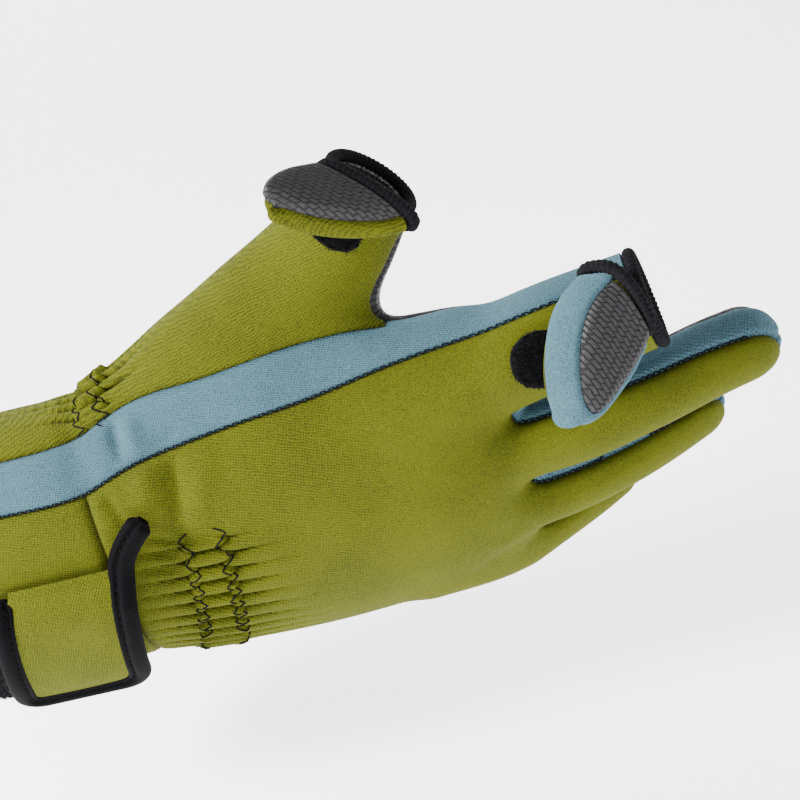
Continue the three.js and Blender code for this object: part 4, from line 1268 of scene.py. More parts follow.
# %% Shapes of the two pouches
POUCH_WALL, TIP_BULGE = 1.9, 2.2
POUCH_COLUMNS = "at low high thick"
POUCHES = {
    "index": dict(
        width=23.0, length=30.0, thickness=15.0, squareness=2.8,
        mouth_run=(0.15, -0.97, 0.21), length_run=(-0.67, -0.64, 0.39), thick_run=(-0.89, 0.08, -0.44),
        place=(0.0, 0.22, 0.47),
        rows=table(
            POUCH_COLUMNS,
            (-0.20, -1.00, 1.00, 1.00),
            (0.00, -1.00, 1.00, 1.00),
            (0.25, -1.24, 0.95, 1.00),
            (0.50, -1.28, 0.78, 1.00),
            (0.75, -1.02, 0.56, 0.95),
            (0.92, -0.62, 0.30, 0.80),
            (1.00, -0.30, 0.05, 0.55),
        ),
        layers=(("index_cap_face", 0.0, 0.14, "index grip", "black_grip"),
                ("index_cap_band", 0.14, 0.86, "slate", "slate_neoprene"),
                ("index_cap_back", 0.86, 1.0, "olive", "olive_neoprene")),
    ),
    "thumb": dict(
        width=30.5, length=22.0, thickness=9.5, squareness=2.3,
        mouth_run=(-0.055, -0.997, -0.06), length_run=(-0.41, 0.73, 0.55), thick_run=(-0.87, -0.43, -0.23),
        place=(0.80, 0.18, 0.61),
        rows=table(
            POUCH_COLUMNS,
            (-0.20, -1.00, 1.00, 1.00),
            (0.00, -1.00, 1.00, 1.00),
            (0.30, -1.00, 0.98, 1.00),
            (0.60, -0.85, 0.80, 1.00),
            (0.82, -0.62, 0.55, 0.90),
            (0.94, -0.40, 0.32, 0.72),
            (1.00, -0.20, 0.14, 0.50),
        ),
        layers=(("thumb_cap_face", 0.0, 0.24, "thumb grip", "black_grip"),
                ("thumb_cap_back", 0.24, 1.0, "olive", "olive_neoprene")),
    ),
}
for name, pouch in POUCHES.items():
    print(name, "pouch:", pouch["width"], "by", pouch["length"], "by", pouch["thickness"], "mm")

# %% [markdown]
# The rings of a sleeve are squared ellipses, and its tip is a quarter turn that carries the last ring
# in to one point. Each point keeps its share through the thickness, for the cuts, and its place on the
# flattened pouch, for the embossed pads.


# %% Sleeves
def pouch_axes(name):
    """Origin of the mouth and the mouth, length and thickness directions, from the finger's end."""
    pouch, finger = POUCHES[name], FINGERS[name]
    centre, direction, up, back = (v[0] for v in finger_frame(finger, 1.0))
    turned = [
        run[0] * direction + run[1] * up + run[2] * back
        for run in (pouch["mouth_run"], pouch["length_run"], pouch["thick_run"])
    ]
    surface = finger["rows"]["depth"][-1] * finger["width"] / 2
    along, side, off = pouch["place"]
    origin = (
        centre + direction * along * pouch["thickness"] + up * side * finger["width"]
        + back * (surface + off * pouch["thickness"])
    )
    return origin, *turned


def pouch_point(name, at, angle, inset=0.0):
    """Point of the sleeve, its share through the thickness and its share across, on squared rings."""
    pouch = POUCHES[name]
    origin, mouth, length, thick = pouch_axes(name)
    low = eased(pouch["rows"], "low", at) + 2 * inset / pouch["width"]
    high = eased(pouch["rows"], "high", at) - 2 * inset / pouch["width"]
    deep = eased(pouch["rows"], "thick", at) - 2 * inset / pouch["thickness"]
    e = pouch["squareness"]
    across = (low + high) / 2 + (high - low) / 2 * squared(np.cos(angle), e)
    through = 0.5 - deep / 2 * squared(np.sin(angle), e)
    point = (
        origin
        + np.multiply.outer(across * pouch["width"] / 2, mouth)
        + np.multiply.outer(at * pouch["length"], length)
        + np.multiply.outer(through * pouch["thickness"], thick)
    )
    return point, through, across


def sleeve(name, rings=56, sides=150):
    """Grid of the sleeve from its mouth to a rounded end that closes on one point."""
    pouch = POUCHES[name]
    at, angle = np.meshgrid(np.linspace(0, 1, rings), np.arange(sides) * 2 * math.pi / sides, indexing="ij")
    points, through, across = pouch_point(name, at, angle)
    end = points[-1]
    middle = end.mean(0)
    turns = np.linspace(0, math.pi / 2, 9)[1:]
    push = pouch_axes(name)[2] * TIP_BULGE
    dome = middle + np.cos(turns)[:, None, None] * (end - middle) + np.sin(turns)[:, None, None] * push
    points = np.concatenate([points, dome])
    dome_through = 0.5 + np.cos(turns)[:, None] * (through[-1] - 0.5)
    through = np.concatenate([through, dome_through])
    flat = np.stack([across * pouch["width"] / 2, at * pouch["length"]], -1)
    dome_flat = flat[-1].mean(0) + np.cos(turns)[:, None, None] * (flat[-1] - flat[-1].mean(0))
    flat = np.concatenate([flat, dome_flat + np.sin(turns)[:, None, None] * np.array([0, TIP_BULGE])])
    faces = tube_faces(len(points), sides)
    points, through, flat = points.reshape(-1, 3), through.reshape(-1), flat.reshape(-1, 2)
    return points, outward(points, faces), through, flat


print("points of the index sleeve:", len(sleeve("index")[0]))

# %% [markdown]
# The layers are cut from the sleeve by its share through the thickness. The thumb's black face wraps
# round the pouch's lower edge, so its cut moves through the thickness from one side to the other. The
# index finger's band bulges as one arc, and the other layers only rise a little from their seams.

# %% Layers of the two pouches
POUCH_GAP, POUCH_NUDGE = 0.08, 0.02
BAND_PUFF, FLAT_PUFF = 0.7, 0.5
POUCH_VALLEY, POUCH_VALLEY_WIDTH = 0.65, 0.8
THUMB_WRAP = 0.36
KNIT_CLEARNESS = {"olive": 1.0, "slate": 0.2}
for name, pouch in POUCHES.items():
    points, faces, through, flat = sleeve(name)
    normals = vertex_normals(points, faces)
    wrap = 0.0
    if name == "thumb":
        wrap = THUMB_WRAP * smooth(-0.1, 0.7, -flat[:, 0] / pouch["width"] * 2)
    for node, start, end, look, slot_name in pouch["layers"]:
        level = np.full(len(points), 50.0)
        if start > 0:
            level = np.minimum(level, (through - start - wrap) * pouch["thickness"])
        if end < 1:
            level = np.minimum(level, (end + wrap - through) * pouch["thickness"])
        level = level / np.maximum(steepness(points, faces, level), LEAST_SLOPE)
        cut = level - POUCH_GAP
        cut = np.where(np.abs(cut) < POUCH_NUDGE, POUCH_NUDGE, cut)
        columns = dict(p=points, n=normals, level=level, flat=flat, through=through)
        part, columns = cut_out(faces, cut, columns)
        normal = unit(columns["n"])
        share = np.clip((columns["through"] - start) / (end - start), 0, 1)
        puff = FLAT_PUFF * smooth(0.5, 6, columns["level"])
        if node.endswith("band"):
            puff = BAND_PUFF * np.sin(np.pi * share)
        raised = puff - POUCH_VALLEY * np.exp(-((columns["level"] / POUCH_VALLEY_WIDTH) ** 2))
        shifted = columns["p"] + normal * raised[:, None]
        cloth = columns["flat"]
        if look in KNIT_CLEARNESS:
            cloth = np.stack([columns["through"] * pouch["thickness"], cloth[:, 0]], 1)
        cloth = np.column_stack([cloth, np.full(len(cloth), KNIT_CLEARNESS.get(look, 1.0))])
        shell, shell_faces, rim, count = thicken(shifted, normal, part, POUCH_WALL)
        item = make(node + "_cloth", shell, shell_faces, np.concatenate([cloth, cloth]), rim, count)
        # Painted shade: the depth of each layer's seam valleys darkens the knit there.
        paint_crease_shade(item, np.concatenate([-raised, -raised]))
        finish_piece(item, look, node)
        print(node, len(shell_faces), "triangles")

# %% [markdown]
# ## Cords, tapes and stitches
# Overlocked edges are a cord with the thread's slanting wraps standing out of it. The tape and the
# stitches are tubes along curves too, so one function sweeps any section along any curve. Blender's
# own curves with a bevel give one round section; this one may change along its way.


# %% Sweeping a section along a curve
def even_steps(curve, step, closed=False):
    """Points at even distances along a curve, straight between its own points, and those distances."""
    if closed:
        curve = np.concatenate([curve, curve[:1]])
    length = np.concatenate([[0], np.cumsum(np.linalg.norm(np.diff(curve, axis=0), axis=1))])
    count = max(int(round(length[-1] / step)), 2)
    at = np.linspace(0, length[-1], count + 1)[: count if closed else None]
    return np.stack([np.interp(at, length, curve[:, k]) for k in range(curve.shape[1])], 1), at


def sweep_section(curve, normal, section, closed=False):
    """Grid of curve + s side + n normal for a section of (s, n) pairs at every point of the curve."""
    if closed:
        run = unit(np.roll(curve, -1, 0) - np.roll(curve, 1, 0))
    else:
        run = unit(np.gradient(curve, axis=0))
    side = unit(np.cross(run, normal))
    normal = np.cross(side, run)
    grid = curve[:, None] + section[..., :1] * side[:, None] + section[..., 1:] * normal[:, None]
    rows, sides = grid.shape[:2]
    faces = tube_faces(rows, sides, closed)[:, ::-1]
    points = grid.reshape(-1, 3)
    if not closed:
        points = np.concatenate([points, grid[0].mean(0)[None], grid[-1].mean(0)[None]])
        k = np.arange(sides)
        after, end = (k + 1) % sides, (rows - 1) * sides
        start = np.stack([np.full(sides, len(points) - 2), k, after], 1)
        stop = np.stack([np.full(sides, len(points) - 1), end + after, end + k], 1)
        faces = np.concatenate([faces, start, stop])
    return points, faces


print("a 10 mm line in steps of about 3 mm:", even_steps(np.array([[0.0], [10.0]]), 3)[1].round(2))

# %% [markdown]
# Four overlocked edges ring the mouths: one for each pouch and one for each open finger. The wraps'
# pitch is stretched a little, so that a whole number of them goes round.

# %% Overlocked edges
CORD, CORD_GAP, CORD_STEP, CORD_SIDES = 1.7, 0.25, 0.33, 18


def overlock(name, ring, outwards, radius, node, pitch=2.0):
    """Cord with slanting wraps: r = R (0.86 + 0.22 |sin(pi (s / pitch + turn / 2 pi))|^0.7).

    s runs along the ring and its outward arrows together, root two times as long as the ring alone.
    """
    both, at = even_steps(np.hstack([ring, outwards]), CORD_STEP, closed=True)
    curve, normal = both[:, :3], unit(both[:, 3:])
    total = at[-1] + CORD_STEP
    pitch = total / round(total / pitch)
    turn = np.arange(CORD_SIDES) * 2 * math.pi / CORD_SIDES
    wrap = np.abs(np.sin(np.pi * (at[:, None] / pitch + turn[None] / (2 * math.pi)))) ** 0.7
    thickness = radius * (0.86 + 0.22 * wrap)
    section = np.stack([thickness * np.cos(turn), thickness * np.sin(turn)], -1)
    points, faces = sweep_section(curve, normal, section, closed=True)
    item = make(name, points, outward(points, faces))
    length = np.linalg.norm(curve - np.roll(curve, 1, 0), axis=1).sum()
    print(name, "is", round(float(length), 1), "mm round with", round(total / pitch), "wraps")
    return finish_piece(item, "edge", node)


turns = np.linspace(0, 2 * math.pi, 161)[:-1]
for name, pouch in POUCHES.items():
    origin, mouth, length, thick = pouch_axes(name)
    rim_normal = unit(np.cross(mouth, thick))
    lead = -(CORD + CORD_GAP) / abs(float(length @ rim_normal)) / pouch["length"]
    ring, _, _ = pouch_point(name, np.full(160, lead), turns, WALL / 2)
    overlock(name + "_cap_overlock", ring, ring - ring.mean(0), CORD, name + "_cap_edge")
    finger = FINGERS[name]
    centre, direction, up, back = (v[0] for v in finger_frame(finger, 1.0))
    breadth = finger["rows"]["breadth"][-1] * finger["width"] / 2 - WALL / 2
    depth = finger["rows"]["depth"][-1] * finger["width"] / 2 - WALL / 2
    ring = (
        centre + direction * (CORD + CORD_GAP)
        + np.multiply.outer(np.sin(turns) * breadth, up) + np.multiply.outer(np.cos(turns) * depth, back)
    )
    overlock(name + "_mouth_overlock", ring, ring - ring.mean(0), CORD, name + "_mouth_edge")

# %% [markdown]
# A stitch is a short thread that rises out of the cloth, bows over and sinks in again. All stitches of
# a seam are one mesh, worked out in one go. Their places come from a guess beside the seam, which
# settles onto it.


# %% Short threads
def bars(ends_a, ends_b, normals, radius, bow=0.35, sides=6, steps=6):
    """Short threads from a to b, bowed outwards in the middle and sunk at both ends."""
    t = np.linspace(0, 1, steps)
    line = ends_a[:, None] + (ends_b - ends_a)[:, None] * t[:, None]
    line = line + normals[:, None] * (bow * np.sin(np.pi * t) - 0.15)[:, None]
    run = unit(ends_b - ends_a)[:, None] + 0 * line
    side = unit(np.cross(run, normals[:, None]))
    lift = np.cross(side, run)
    turn = np.arange(sides) * 2 * math.pi / sides
    thick = radius * (0.35 + 0.65 * np.sin(np.pi * (0.08 + 0.84 * t)))[None, :, None, None]
    ring = side[:, :, None] * np.cos(turn)[:, None] + lift[:, :, None] * np.sin(turn)[:, None]
    grid = line[:, :, None] + ring * thick
    count = len(ends_a)
    points = grid.reshape(-1, 3)
    n, i, j = np.meshgrid(np.arange(count), np.arange(steps - 1), np.arange(sides), indexing="ij")
    base = n * steps * sides
    a, b = base + i * sides + j, base + i * sides + (j + 1) % sides
    c, d = b + sides, a + sides
    faces = [np.stack([a, b, c], -1).reshape(-1, 3), np.stack([a, c, d], -1).reshape(-1, 3)]
    n, j = np.meshgrid(np.arange(count), np.arange(1, sides - 1), indexing="ij")
    base = n * steps * sides
    last = base + (steps - 1) * sides
    faces.append(np.stack([base, base + j + 1, base + j], -1).reshape(-1, 3))
    faces.append(np.stack([last, last + j, last + j + 1], -1).reshape(-1, 3))
    faces = np.concatenate(faces)
    a, b, c = (points[faces[: sides, k]] - points[: steps * sides].mean(0) for k in range(3))
    return points, faces if np.einsum("ij,ij->i", a, np.cross(b, c)).sum() > 0 else faces[:, ::-1]


def settle(p, level, rounds=14):
    """Moves points onto the skin and onto a seam's zero level, along both slopes in turn, 3 mm at most."""
    for _ in range(rounds):
        f = glove_field(p)
        g = field_slope(p, f)
        p = p - (f / np.maximum((g * g).sum(1), 0.2))[:, None] * g
        n = unit(g)
        s = level(p)
        h = np.stack([(level(p + 0.2 * axis) - s) / 0.2 for axis in np.eye(3)], -1)
        h = h - (h * n).sum(1, keepdims=True) * n
        move = -(s / np.maximum((h * h).sum(1), 0.05))[:, None] * h
        size = np.linalg.norm(move, axis=1, keepdims=True)
        p = p + move * np.minimum(1, 3.0 / np.maximum(size, 1e-6))
    return p, unit(field_slope(p))


def zigzag_thread(name, curve, normal, pitch, inner, outer, radius=0.3, sink=0.45):
    """Threads from one side of a seam to the other and back, one bar for each slanting stitch."""
    both, _ = even_steps(np.hstack([curve, normal]), pitch / 2)
    p, n = both[:, :3], unit(both[:, 3:])
    side = unit(np.cross(n, np.gradient(p, axis=0)))
    shift = np.where(np.arange(len(p)) % 2 == 0, inner, outer)[:, None]
    knots = p + side * shift - n * sink
    points, faces = bars(knots[:-1], knots[1:], n[:-1], radius)
    item = make(name, points, faces)
    return finish_piece(item, "thread", None)


ends = np.array([[0.0, 0.0, 0.0], [1.0, 0.0, 0.0]])
print("one stitch has", len(bars(ends[:1], ends[1:], np.array([[0.0, 1.0, 0.0]]), 0.3)[1]), "triangles")

# %% [markdown]
# The stripe's lower seam carries a visible black zigzag from the hem to the index finger's mouth.

# %% Stripe's zigzag
STRIPE_STITCHES = (1, 219)
x = np.linspace(*STRIPE_STITCHES, 240)
_, _, mid_y, half_y, _ = hand_at(x)
guess_z = eased(STRIPE, "lower", x / PALM_LENGTH) * PALM_BREADTH + 0.8 * half_y
guess = np.stack([x, mid_y - 0.9 * half_y, guess_z], 1)
index_line = line_at(FINGERS["index"], x)
guess = np.where((x > 175)[:, None], index_line + np.array([0.0, -12.0, 6.0]), guess)
stripe_curve, stripe_normal = settle(guess, lambda p: stripe_level(p, "lower"))
order = np.argsort(stripe_curve[:, 0])
zigzag_thread("stripe_zigzag", stripe_curve[order], stripe_normal[order], 2.6, -0.15, 0.75, 0.26)
print("stripe seam runs from", stripe_curve[0].round(1), "to", stripe_curve[-1].round(1))

# %% [markdown]
# The strips between the fingers are sewn to the finger backs with a finer zigzag. It runs out along
# each finger and stops short of a closed tip.


# %% Stitches of the strips
def strip_seam(p):
    """Depth below the seam between a finger's back and the strip beside it."""
    return p[:, 1] - palm_seam(p[:, 0], p[:, 2]) + gusset_opening(p[:, 0], p[:, 2])


for upper, lower in (("index", "middle"), ("middle", "ring"), ("ring", "little")):
    for which, sign in ((upper, -1), (lower, 1)):
        finger = FINGERS[which]
        start = finger["root"][0] * PALM_LENGTH
        reach = finger["rows"]["along"][-1] * finger["length"]
        tip = 0.0 if finger["open"] else 0.10
        x = np.linspace(WEB_END, start + reach * (1 - tip), 90)
        line = line_at(finger, x)
        half = finger["width"] * 0.5
        guess = line + np.stack([0 * x, np.full(len(x), -0.35 * half), sign * 0.9 * half + 0 * x], 1)
        curve, normal = settle(guess, strip_seam)
        side_name = "lower" if sign < 0 else "upper"
        zigzag_thread(f"{which}_{side_name}_gusset_stitches", curve, normal, 1.9, -0.2, 0.8, 0.24)
        print(which, side_name, "seam stitched as far as x =", round(float(curve[-1, 0]), 1), "mm")

# %% [markdown]
# The gathers are held by two dark zigzag threads that lie at the bottom of the pinched lines.

# %% Gather threads
THREAD_SPANS = {"wrist": (0.13, -1.45, 700), "thumb_side": (1.75, 1.12, 300)}
THREAD_RADIUS, THREAD_SIDES, THREAD_RISE = 0.24, 7, 0.10
turn = np.arange(THREAD_SIDES) * 2 * math.pi / THREAD_SIDES
ring = np.stack([np.cos(turn), np.sin(turn)], 1) * THREAD_RADIUS
for row, (name, span) in enumerate(THREAD_SPANS.items()):
    angle = np.linspace(*span)
    for side_name, x in zip(("first", "second"), gather_rows(angle, row)):
        mid_z, half_z, mid_y, half_y, curl = hand_at(x)
        z = mid_z + half_z * squared(np.sin(angle), SQUARENESS)
        y = mid_y + curl_at(mid_z, half_z, curl, z) - half_y * squared(np.cos(angle), SQUARENESS)
        line, normal = onto_skin(np.stack([x, y, z], 1), 0.0)
        height = gather_lift(line, row) + fold_lift(line)
        both, _ = even_steps(np.hstack([line + normal * (height + THREAD_RISE)[:, None], normal]), 0.4)
        points, faces = sweep_section(both[:, :3], unit(both[:, 3:]), np.repeat(ring[None], len(both), 0))
        item = make(f"{name}_gather_{side_name}_thread", points, outward(points, faces))
        finish_piece(item, "thread", None)
        print(item.name, len(faces), "triangles")

# %% [markdown]
# ## Hook patches
# A patch is a thin round pad that follows the finger, covered with short bristles. Bump alone would
# leave its outline too smooth, and a hair system would not reach the exported meshes.


# %% Bristles and pads
def bristles(bases, normals, length, radius, lean=0.6):
    """Tapering threads from a base to base + tall (normal + lean noise) / |...|, each its own way."""
    count = len(bases)
    away = unit(normals + lean * random.normal(size=(count, 3)))
    tall = length * random.uniform(0.6, 1.2, (count, 1))
    bow_run = unit(random.normal(size=(count, 3)))
    return bars(bases, bases + away * tall, bow_run, radius, bow=0.18, sides=4, steps=3)


def disc(middle, run, side, radius, rings=16, sides=64):
    """Flat grid of rings round a middle, closed at the centre."""
    turn = np.arange(sides) * 2 * math.pi / sides
    r, t = np.meshgrid(np.linspace(0, 1, rings + 1)[1:], turn, indexing="ij")
    flat = np.stack([(r * np.cos(t)).ravel(), (r * np.sin(t)).ravel()], 1) * radius
    flat = np.concatenate([[[0.0, 0.0]], flat])
    i, j = np.meshgrid(np.arange(rings - 1), np.arange(sides), indexing="ij")
    a, b = 1 + i * sides + j, 1 + i * sides + (j + 1) % sides
    c, d = b + sides, a + sides
    k = np.arange(sides)
    faces = np.concatenate([
        np.stack([np.zeros(sides, int), 1 + k, 1 + (k + 1) % sides], 1),
        np.stack([a, d, c], -1).reshape(-1, 3), np.stack([a, c, b], -1).reshape(-1, 3),
    ])
    return middle + flat[:, :1] * run + flat[:, 1:] * side, faces


print("a pad has", len(disc(np.zeros(3), np.eye(3)[0], np.eye(3)[1], 1.0)[1]), "triangles on its face")

# %% [markdown]
# A patch sits at a share of its finger's length and an angle round it. Its reach is half its length
# along the finger: the thumb's is shorter, as its folded end covers the rest.

# %% The two patches
PATCH_RADIUS, PATCH_RISE, PATCH_THICKNESS, BRISTLES = 8.6, 1.2, 1.15, 2600
PATCHES = {
    "index_patch": dict(which="index", at=0.60, angle=0.05, reach=PATCH_RADIUS, shift=0.0),
    "thumb_patch": dict(which="thumb", at=0.88, angle=0.30, reach=5.2, shift=3.3),
}
for node, patch in PATCHES.items():
    finger, at, angle = FINGERS[patch["which"]], patch["at"], patch["angle"]
    centre, direction, up, back = (v[0] for v in finger_frame(finger, at))
    breadth = eased(finger["rows"], "breadth", np.array([at]))[0] * finger["width"] / 2
    depth = eased(finger["rows"], "depth", np.array([at]))[0] * finger["width"] / 2
    out = unit((up * breadth * math.sin(angle) + back * depth * math.cos(angle))[None])[0]
    side = np.cross(direction, out)
    middle = centre + out * depth + direction * patch["shift"]
    flat, faces = disc(middle, direction * patch["reach"] / PATCH_RADIUS, side, PATCH_RADIUS)
    skin_points, normal = onto_skin(flat, 0.4)
    a, b, c = (skin_points[faces[:1, k]] for k in range(3))
    if (np.cross(b - a, c - a)[0] * normal[0]).sum() < 0:
        faces = faces[:, ::-1]
    shell, shell_faces, _, _ = thicken(skin_points + normal * PATCH_RISE, normal, faces, PATCH_THICKNESS)
    item = make(node + "_pad", shell, shell_faces)
    finish_piece(item, "pile", node)
    pick = random.integers(0, len(faces), BRISTLES)
    weights = random.dirichlet((1, 1, 1), BRISTLES)
    corners = skin_points[faces[pick]] + normal[faces[pick]] * PATCH_THICKNESS
    bases = (corners * weights[..., None]).sum(1)
    hair, hair_faces = bristles(bases, unit(normal[faces[pick, 0]]), 1.1, 0.11)
    item = make(node + "_bristles", hair, hair_faces)
    finish_piece(item, "pile", None)
    print(node, "carries", BRISTLES, "bristles,", len(hair_faces), "triangles")

# %% [markdown]
# ## Closing strap
# The tab is sewn across the back of the cuff, follows it round and leaves it on a tangent. Two
# coordinates are enough for it, the distance down the strap and the place across it. One function
# turns them into a place in space, and every part of the strap is drawn in them.

# %% Coordinates on the strap
TAB_LEFT, TAB_WIDTH, TAB_LENGTH, TAB_SLANT = 0.39 * CUFF_LENGTH, 43.5, 46.0, 0.24
TAPE_WIDTH, TAPE_THICKNESS, TAPE_COVER, CORNER = 7.6, 5.0, 0.72, 7.0
TAB_LOW, TAB_HIGH, TAB_RISE_RUN = 2.92, 5.3, 12


def hand_point(x, angle, lift=0.0):
    """Point of the squared ellipse at x, lifted: angle 0 faces the back, a quarter turn the thumb side."""
    mid_z, half_z, mid_y, half_y, curl = hand_at(x)
    z = mid_z + (half_z + lift) * squared(np.sin(angle), SQUARENESS)
    y = mid_y + curl_at(mid_z, half_z, curl, z) - (half_y + lift) * squared(np.cos(angle), SQUARENESS)
    return np.stack([x + 0 * angle, y, z], -1)


track_angle = np.linspace(0.02, -0.80, 500)
track = hand_point(np.full(500, TAB_LEFT + TAB_WIDTH / 2), track_angle)[:, 1:]
track_run = np.concatenate([[0], np.cumsum(np.linalg.norm(np.diff(track, axis=0), axis=1))])
track_ahead = unit(np.gradient(track, axis=0))


def tab_point(run, x, lift):
    """Track(run) + height x outwards, straight on past the track's end, with x - slant x run across."""
    at = np.clip(run, 0, track_run[-1])
    y, z = (np.interp(at, track_run, track[:, k]) for k in (0, 1))
    ahead = unit(np.stack([np.interp(at, track_run, track_ahead[:, k]) for k in (0, 1)], -1))
    height = mix(TAB_LOW, TAB_HIGH, smooth(0, TAB_RISE_RUN, run)) + lift
    past = run - at
    return np.stack([
        x - TAB_SLANT * run,
        y + ahead[..., 0] * past + ahead[..., 1] * height,
        z + ahead[..., 1] * past - ahead[..., 0] * height,
    ], -1)


print("the strap follows the cuff for", round(float(track_run[-1]), 1), "mm")

# %% [markdown]
# The tab's cloth is a slab between two grids. Its free corners are rounded by shortening the columns
# near its sides, and its edges end under the tape, which hides them.


# %% Tab
def sheet_grid(top, under):
    """Closed slab from two grids of points, the second under the first."""
    rows, cols = top.shape[:2]
    index = np.arange(rows * cols).reshape(rows, cols)
    quads = np.stack([index[:-1, :-1], index[1:, :-1], index[1:, 1:], index[:-1, 1:]], -1).reshape(-1, 4)
    loop = np.concatenate([index[0, :-1], index[:-1, -1], index[-1, :0:-1], index[:0:-1, 0]])
    after = np.roll(loop, -1)
    total = rows * cols
    walls = np.stack([loop, after, after + total, loop + total], 1)
    quads = np.concatenate([quads, quads[:, ::-1] + total, walls])
    points = np.concatenate([top.reshape(-1, 3), under.reshape(-1, 3)])
    faces = np.concatenate([quads[:, [0, 1, 2]], quads[:, [0, 2, 3]]])
    return points, outward(points, faces)


TAB_HALF_WALL, SEWN_DIP, SEWN_RUN = 1.2, 1.1, 3.0
inset = TAPE_WIDTH * TAPE_COVER
share, down = np.meshgrid(np.linspace(0, 1, 70), np.linspace(0, 1, 90), indexing="ij")
x = mix(TAB_LEFT + inset, TAB_LEFT + TAB_WIDTH - inset, share)
from_side = np.minimum(share, 1 - share) * (TAB_WIDTH - 2 * inset)
short = np.maximum(0, CORNER - from_side)
cut = CORNER - np.sqrt(CORNER**2 - short**2)
run = down * (TAB_LENGTH - inset - cut)
edge_distance = np.minimum(from_side, (1 - down) * TAB_LENGTH)
soft = 0.5 * smooth(0, 7, edge_distance) + 0.12 * np.sin(run / 5 + x / 7)
top_edge = -SEWN_DIP * np.exp(-((run / SEWN_DIP) ** 2))
upper = tab_point(run, x, TAB_HALF_WALL + soft + top_edge - TAB_HALF_WALL * (1 - smooth(0, SEWN_RUN, run)))
lower = tab_point(run, x, -TAB_HALF_WALL)
cloth = np.stack([run.ravel(), x.ravel(), np.ones(x.size)], 1)
points, faces = sheet_grid(upper, lower)
item = make("strap_tab_cloth", points, faces, np.concatenate([cloth, cloth]))
finish_piece(item, "olive", "strap_tab")
print("tab:", len(faces), "triangles,", round(float(run.max()), 1), "mm of cloth down its middle")

# %% [markdown]
# A thick knitted tape is folded over the tab's edges, goes round its corners and ends in a curl beyond
# the sewn seam. Its route is drawn flat, in the strap's two coordinates, and smoothed a little so that
# no corner kinks.

# %% Route of the edge tape
CURL_RUN, CURL_REACH = 1.8 * TAPE_WIDTH, 0.19 * TAB_WIDTH
TAPE_STEP, SMOOTHING = 0.6, 11
half = TAPE_WIDTH / 2
left, rightmost, bottom = TAB_LEFT + half, TAB_LEFT + TAB_WIDTH - half, TAB_LENGTH - half
radius = CORNER - 2
t = np.linspace(0, 1, 40)
arc = t * math.pi / 2
head = np.stack([-CURL_RUN * (1 - t), rightmost + CURL_REACH * (1 - t) ** 1.7], 1)[:-1]
line = np.concatenate([
    head,
    np.stack([mix(0, bottom - radius, t), np.full(40, rightmost)], 1),
    np.stack([bottom - radius + radius * np.sin(arc), rightmost - radius + radius * np.cos(arc)], 1),
    np.stack([np.full(40, bottom), mix(rightmost - radius, left + radius, t)], 1),
    np.stack([bottom - radius + radius * np.cos(arc), left + radius - radius * np.sin(arc)], 1),
    np.stack([mix(bottom - radius, 1, t), np.full(40, left)], 1),
])
line, _ = even_steps(line, TAPE_STEP)
window = np.hanning(SMOOTHING) / np.hanning(SMOOTHING).sum()
line = np.pad(line, ((SMOOTHING // 2, SMOOTHING // 2), (0, 0)), mode="edge")
line = np.stack([np.convolve(line[:, k], window, "valid") for k in (0, 1)], 1)
curve = tab_point(line[:, 0], line[:, 1], 0)
normal = unit(tab_point(line[:, 0], line[:, 1], 1) - curve)
print("edge tape:", round(len(curve) * TAPE_STEP), "mm long")

# %% [markdown]
# The tape's section is a squared ellipse with a stitched groove on its top, and the lip beyond the
# groove is pressed down. Both ends are rounded off by shrinking their last few sections.

# %% Edge tape and its stitches
TAPE_SIDES, END_SECTIONS = 40, 4
GROOVE, GROOVE_DEPTH, GROOVE_WIDTH, LIP_DROP, STITCH_RISE = 1.3, 1.3, 0.75, 0.5, 1.35
turn = np.arange(TAPE_SIDES) * 2 * math.pi / TAPE_SIDES
across = half * squared(np.cos(turn), 2.3)
rise = TAPE_THICKNESS / 2 * squared(np.sin(turn), 2.3)
on_top = np.sin(turn) > 0
groove = GROOVE_DEPTH * np.exp(-(((across - GROOVE) / GROOVE_WIDTH) ** 2)) * on_top
lip = np.where(on_top & (across > GROOVE), LIP_DROP * smooth(GROOVE, half, across), 0)
rise = rise - groove - lip
index = np.arange(len(curve))
ends = np.clip(np.minimum(index, index[::-1]) / END_SECTIONS, 0.25, 1)
section = np.stack([across[None] * ends[:, None] ** 0.5, rise[None] * ends[:, None] ** 0.5], -1)
points, faces = sweep_section(curve, normal, section)
along = np.repeat(index * TAPE_STEP, TAPE_SIDES)
cloth = np.stack([along, np.tile(across, len(curve)), 0 * along], 1)
cloth = np.concatenate([cloth, cloth[:1], cloth[-1:]])
item = make("strap_tape_roll", points, outward(points, faces), cloth)
finish_piece(item, "tape", "strap_tape")
beside = unit(np.cross(unit(np.gradient(curve, axis=0)), normal))
groove_line = curve + beside * GROOVE + normal * STITCH_RISE
stitch, _ = even_steps(np.hstack([groove_line, normal]), 1.3)
points, faces = bars(stitch[2:-3:2, :3], stitch[3:-2:2, :3], unit(stitch[2:-3:2, 3:]), 0.26)
finish_piece(make("strap_tape_stitches", points, faces), "thread", None)
print("tape:", len(curve), "sections, its stitches", len(faces), "triangles")

# %% [markdown]
# The loop pile that the tab's hooks hold lies on the cuff beneath it and runs on past it. It is a thin
# pad, as the hook patches are, with short loops all over.

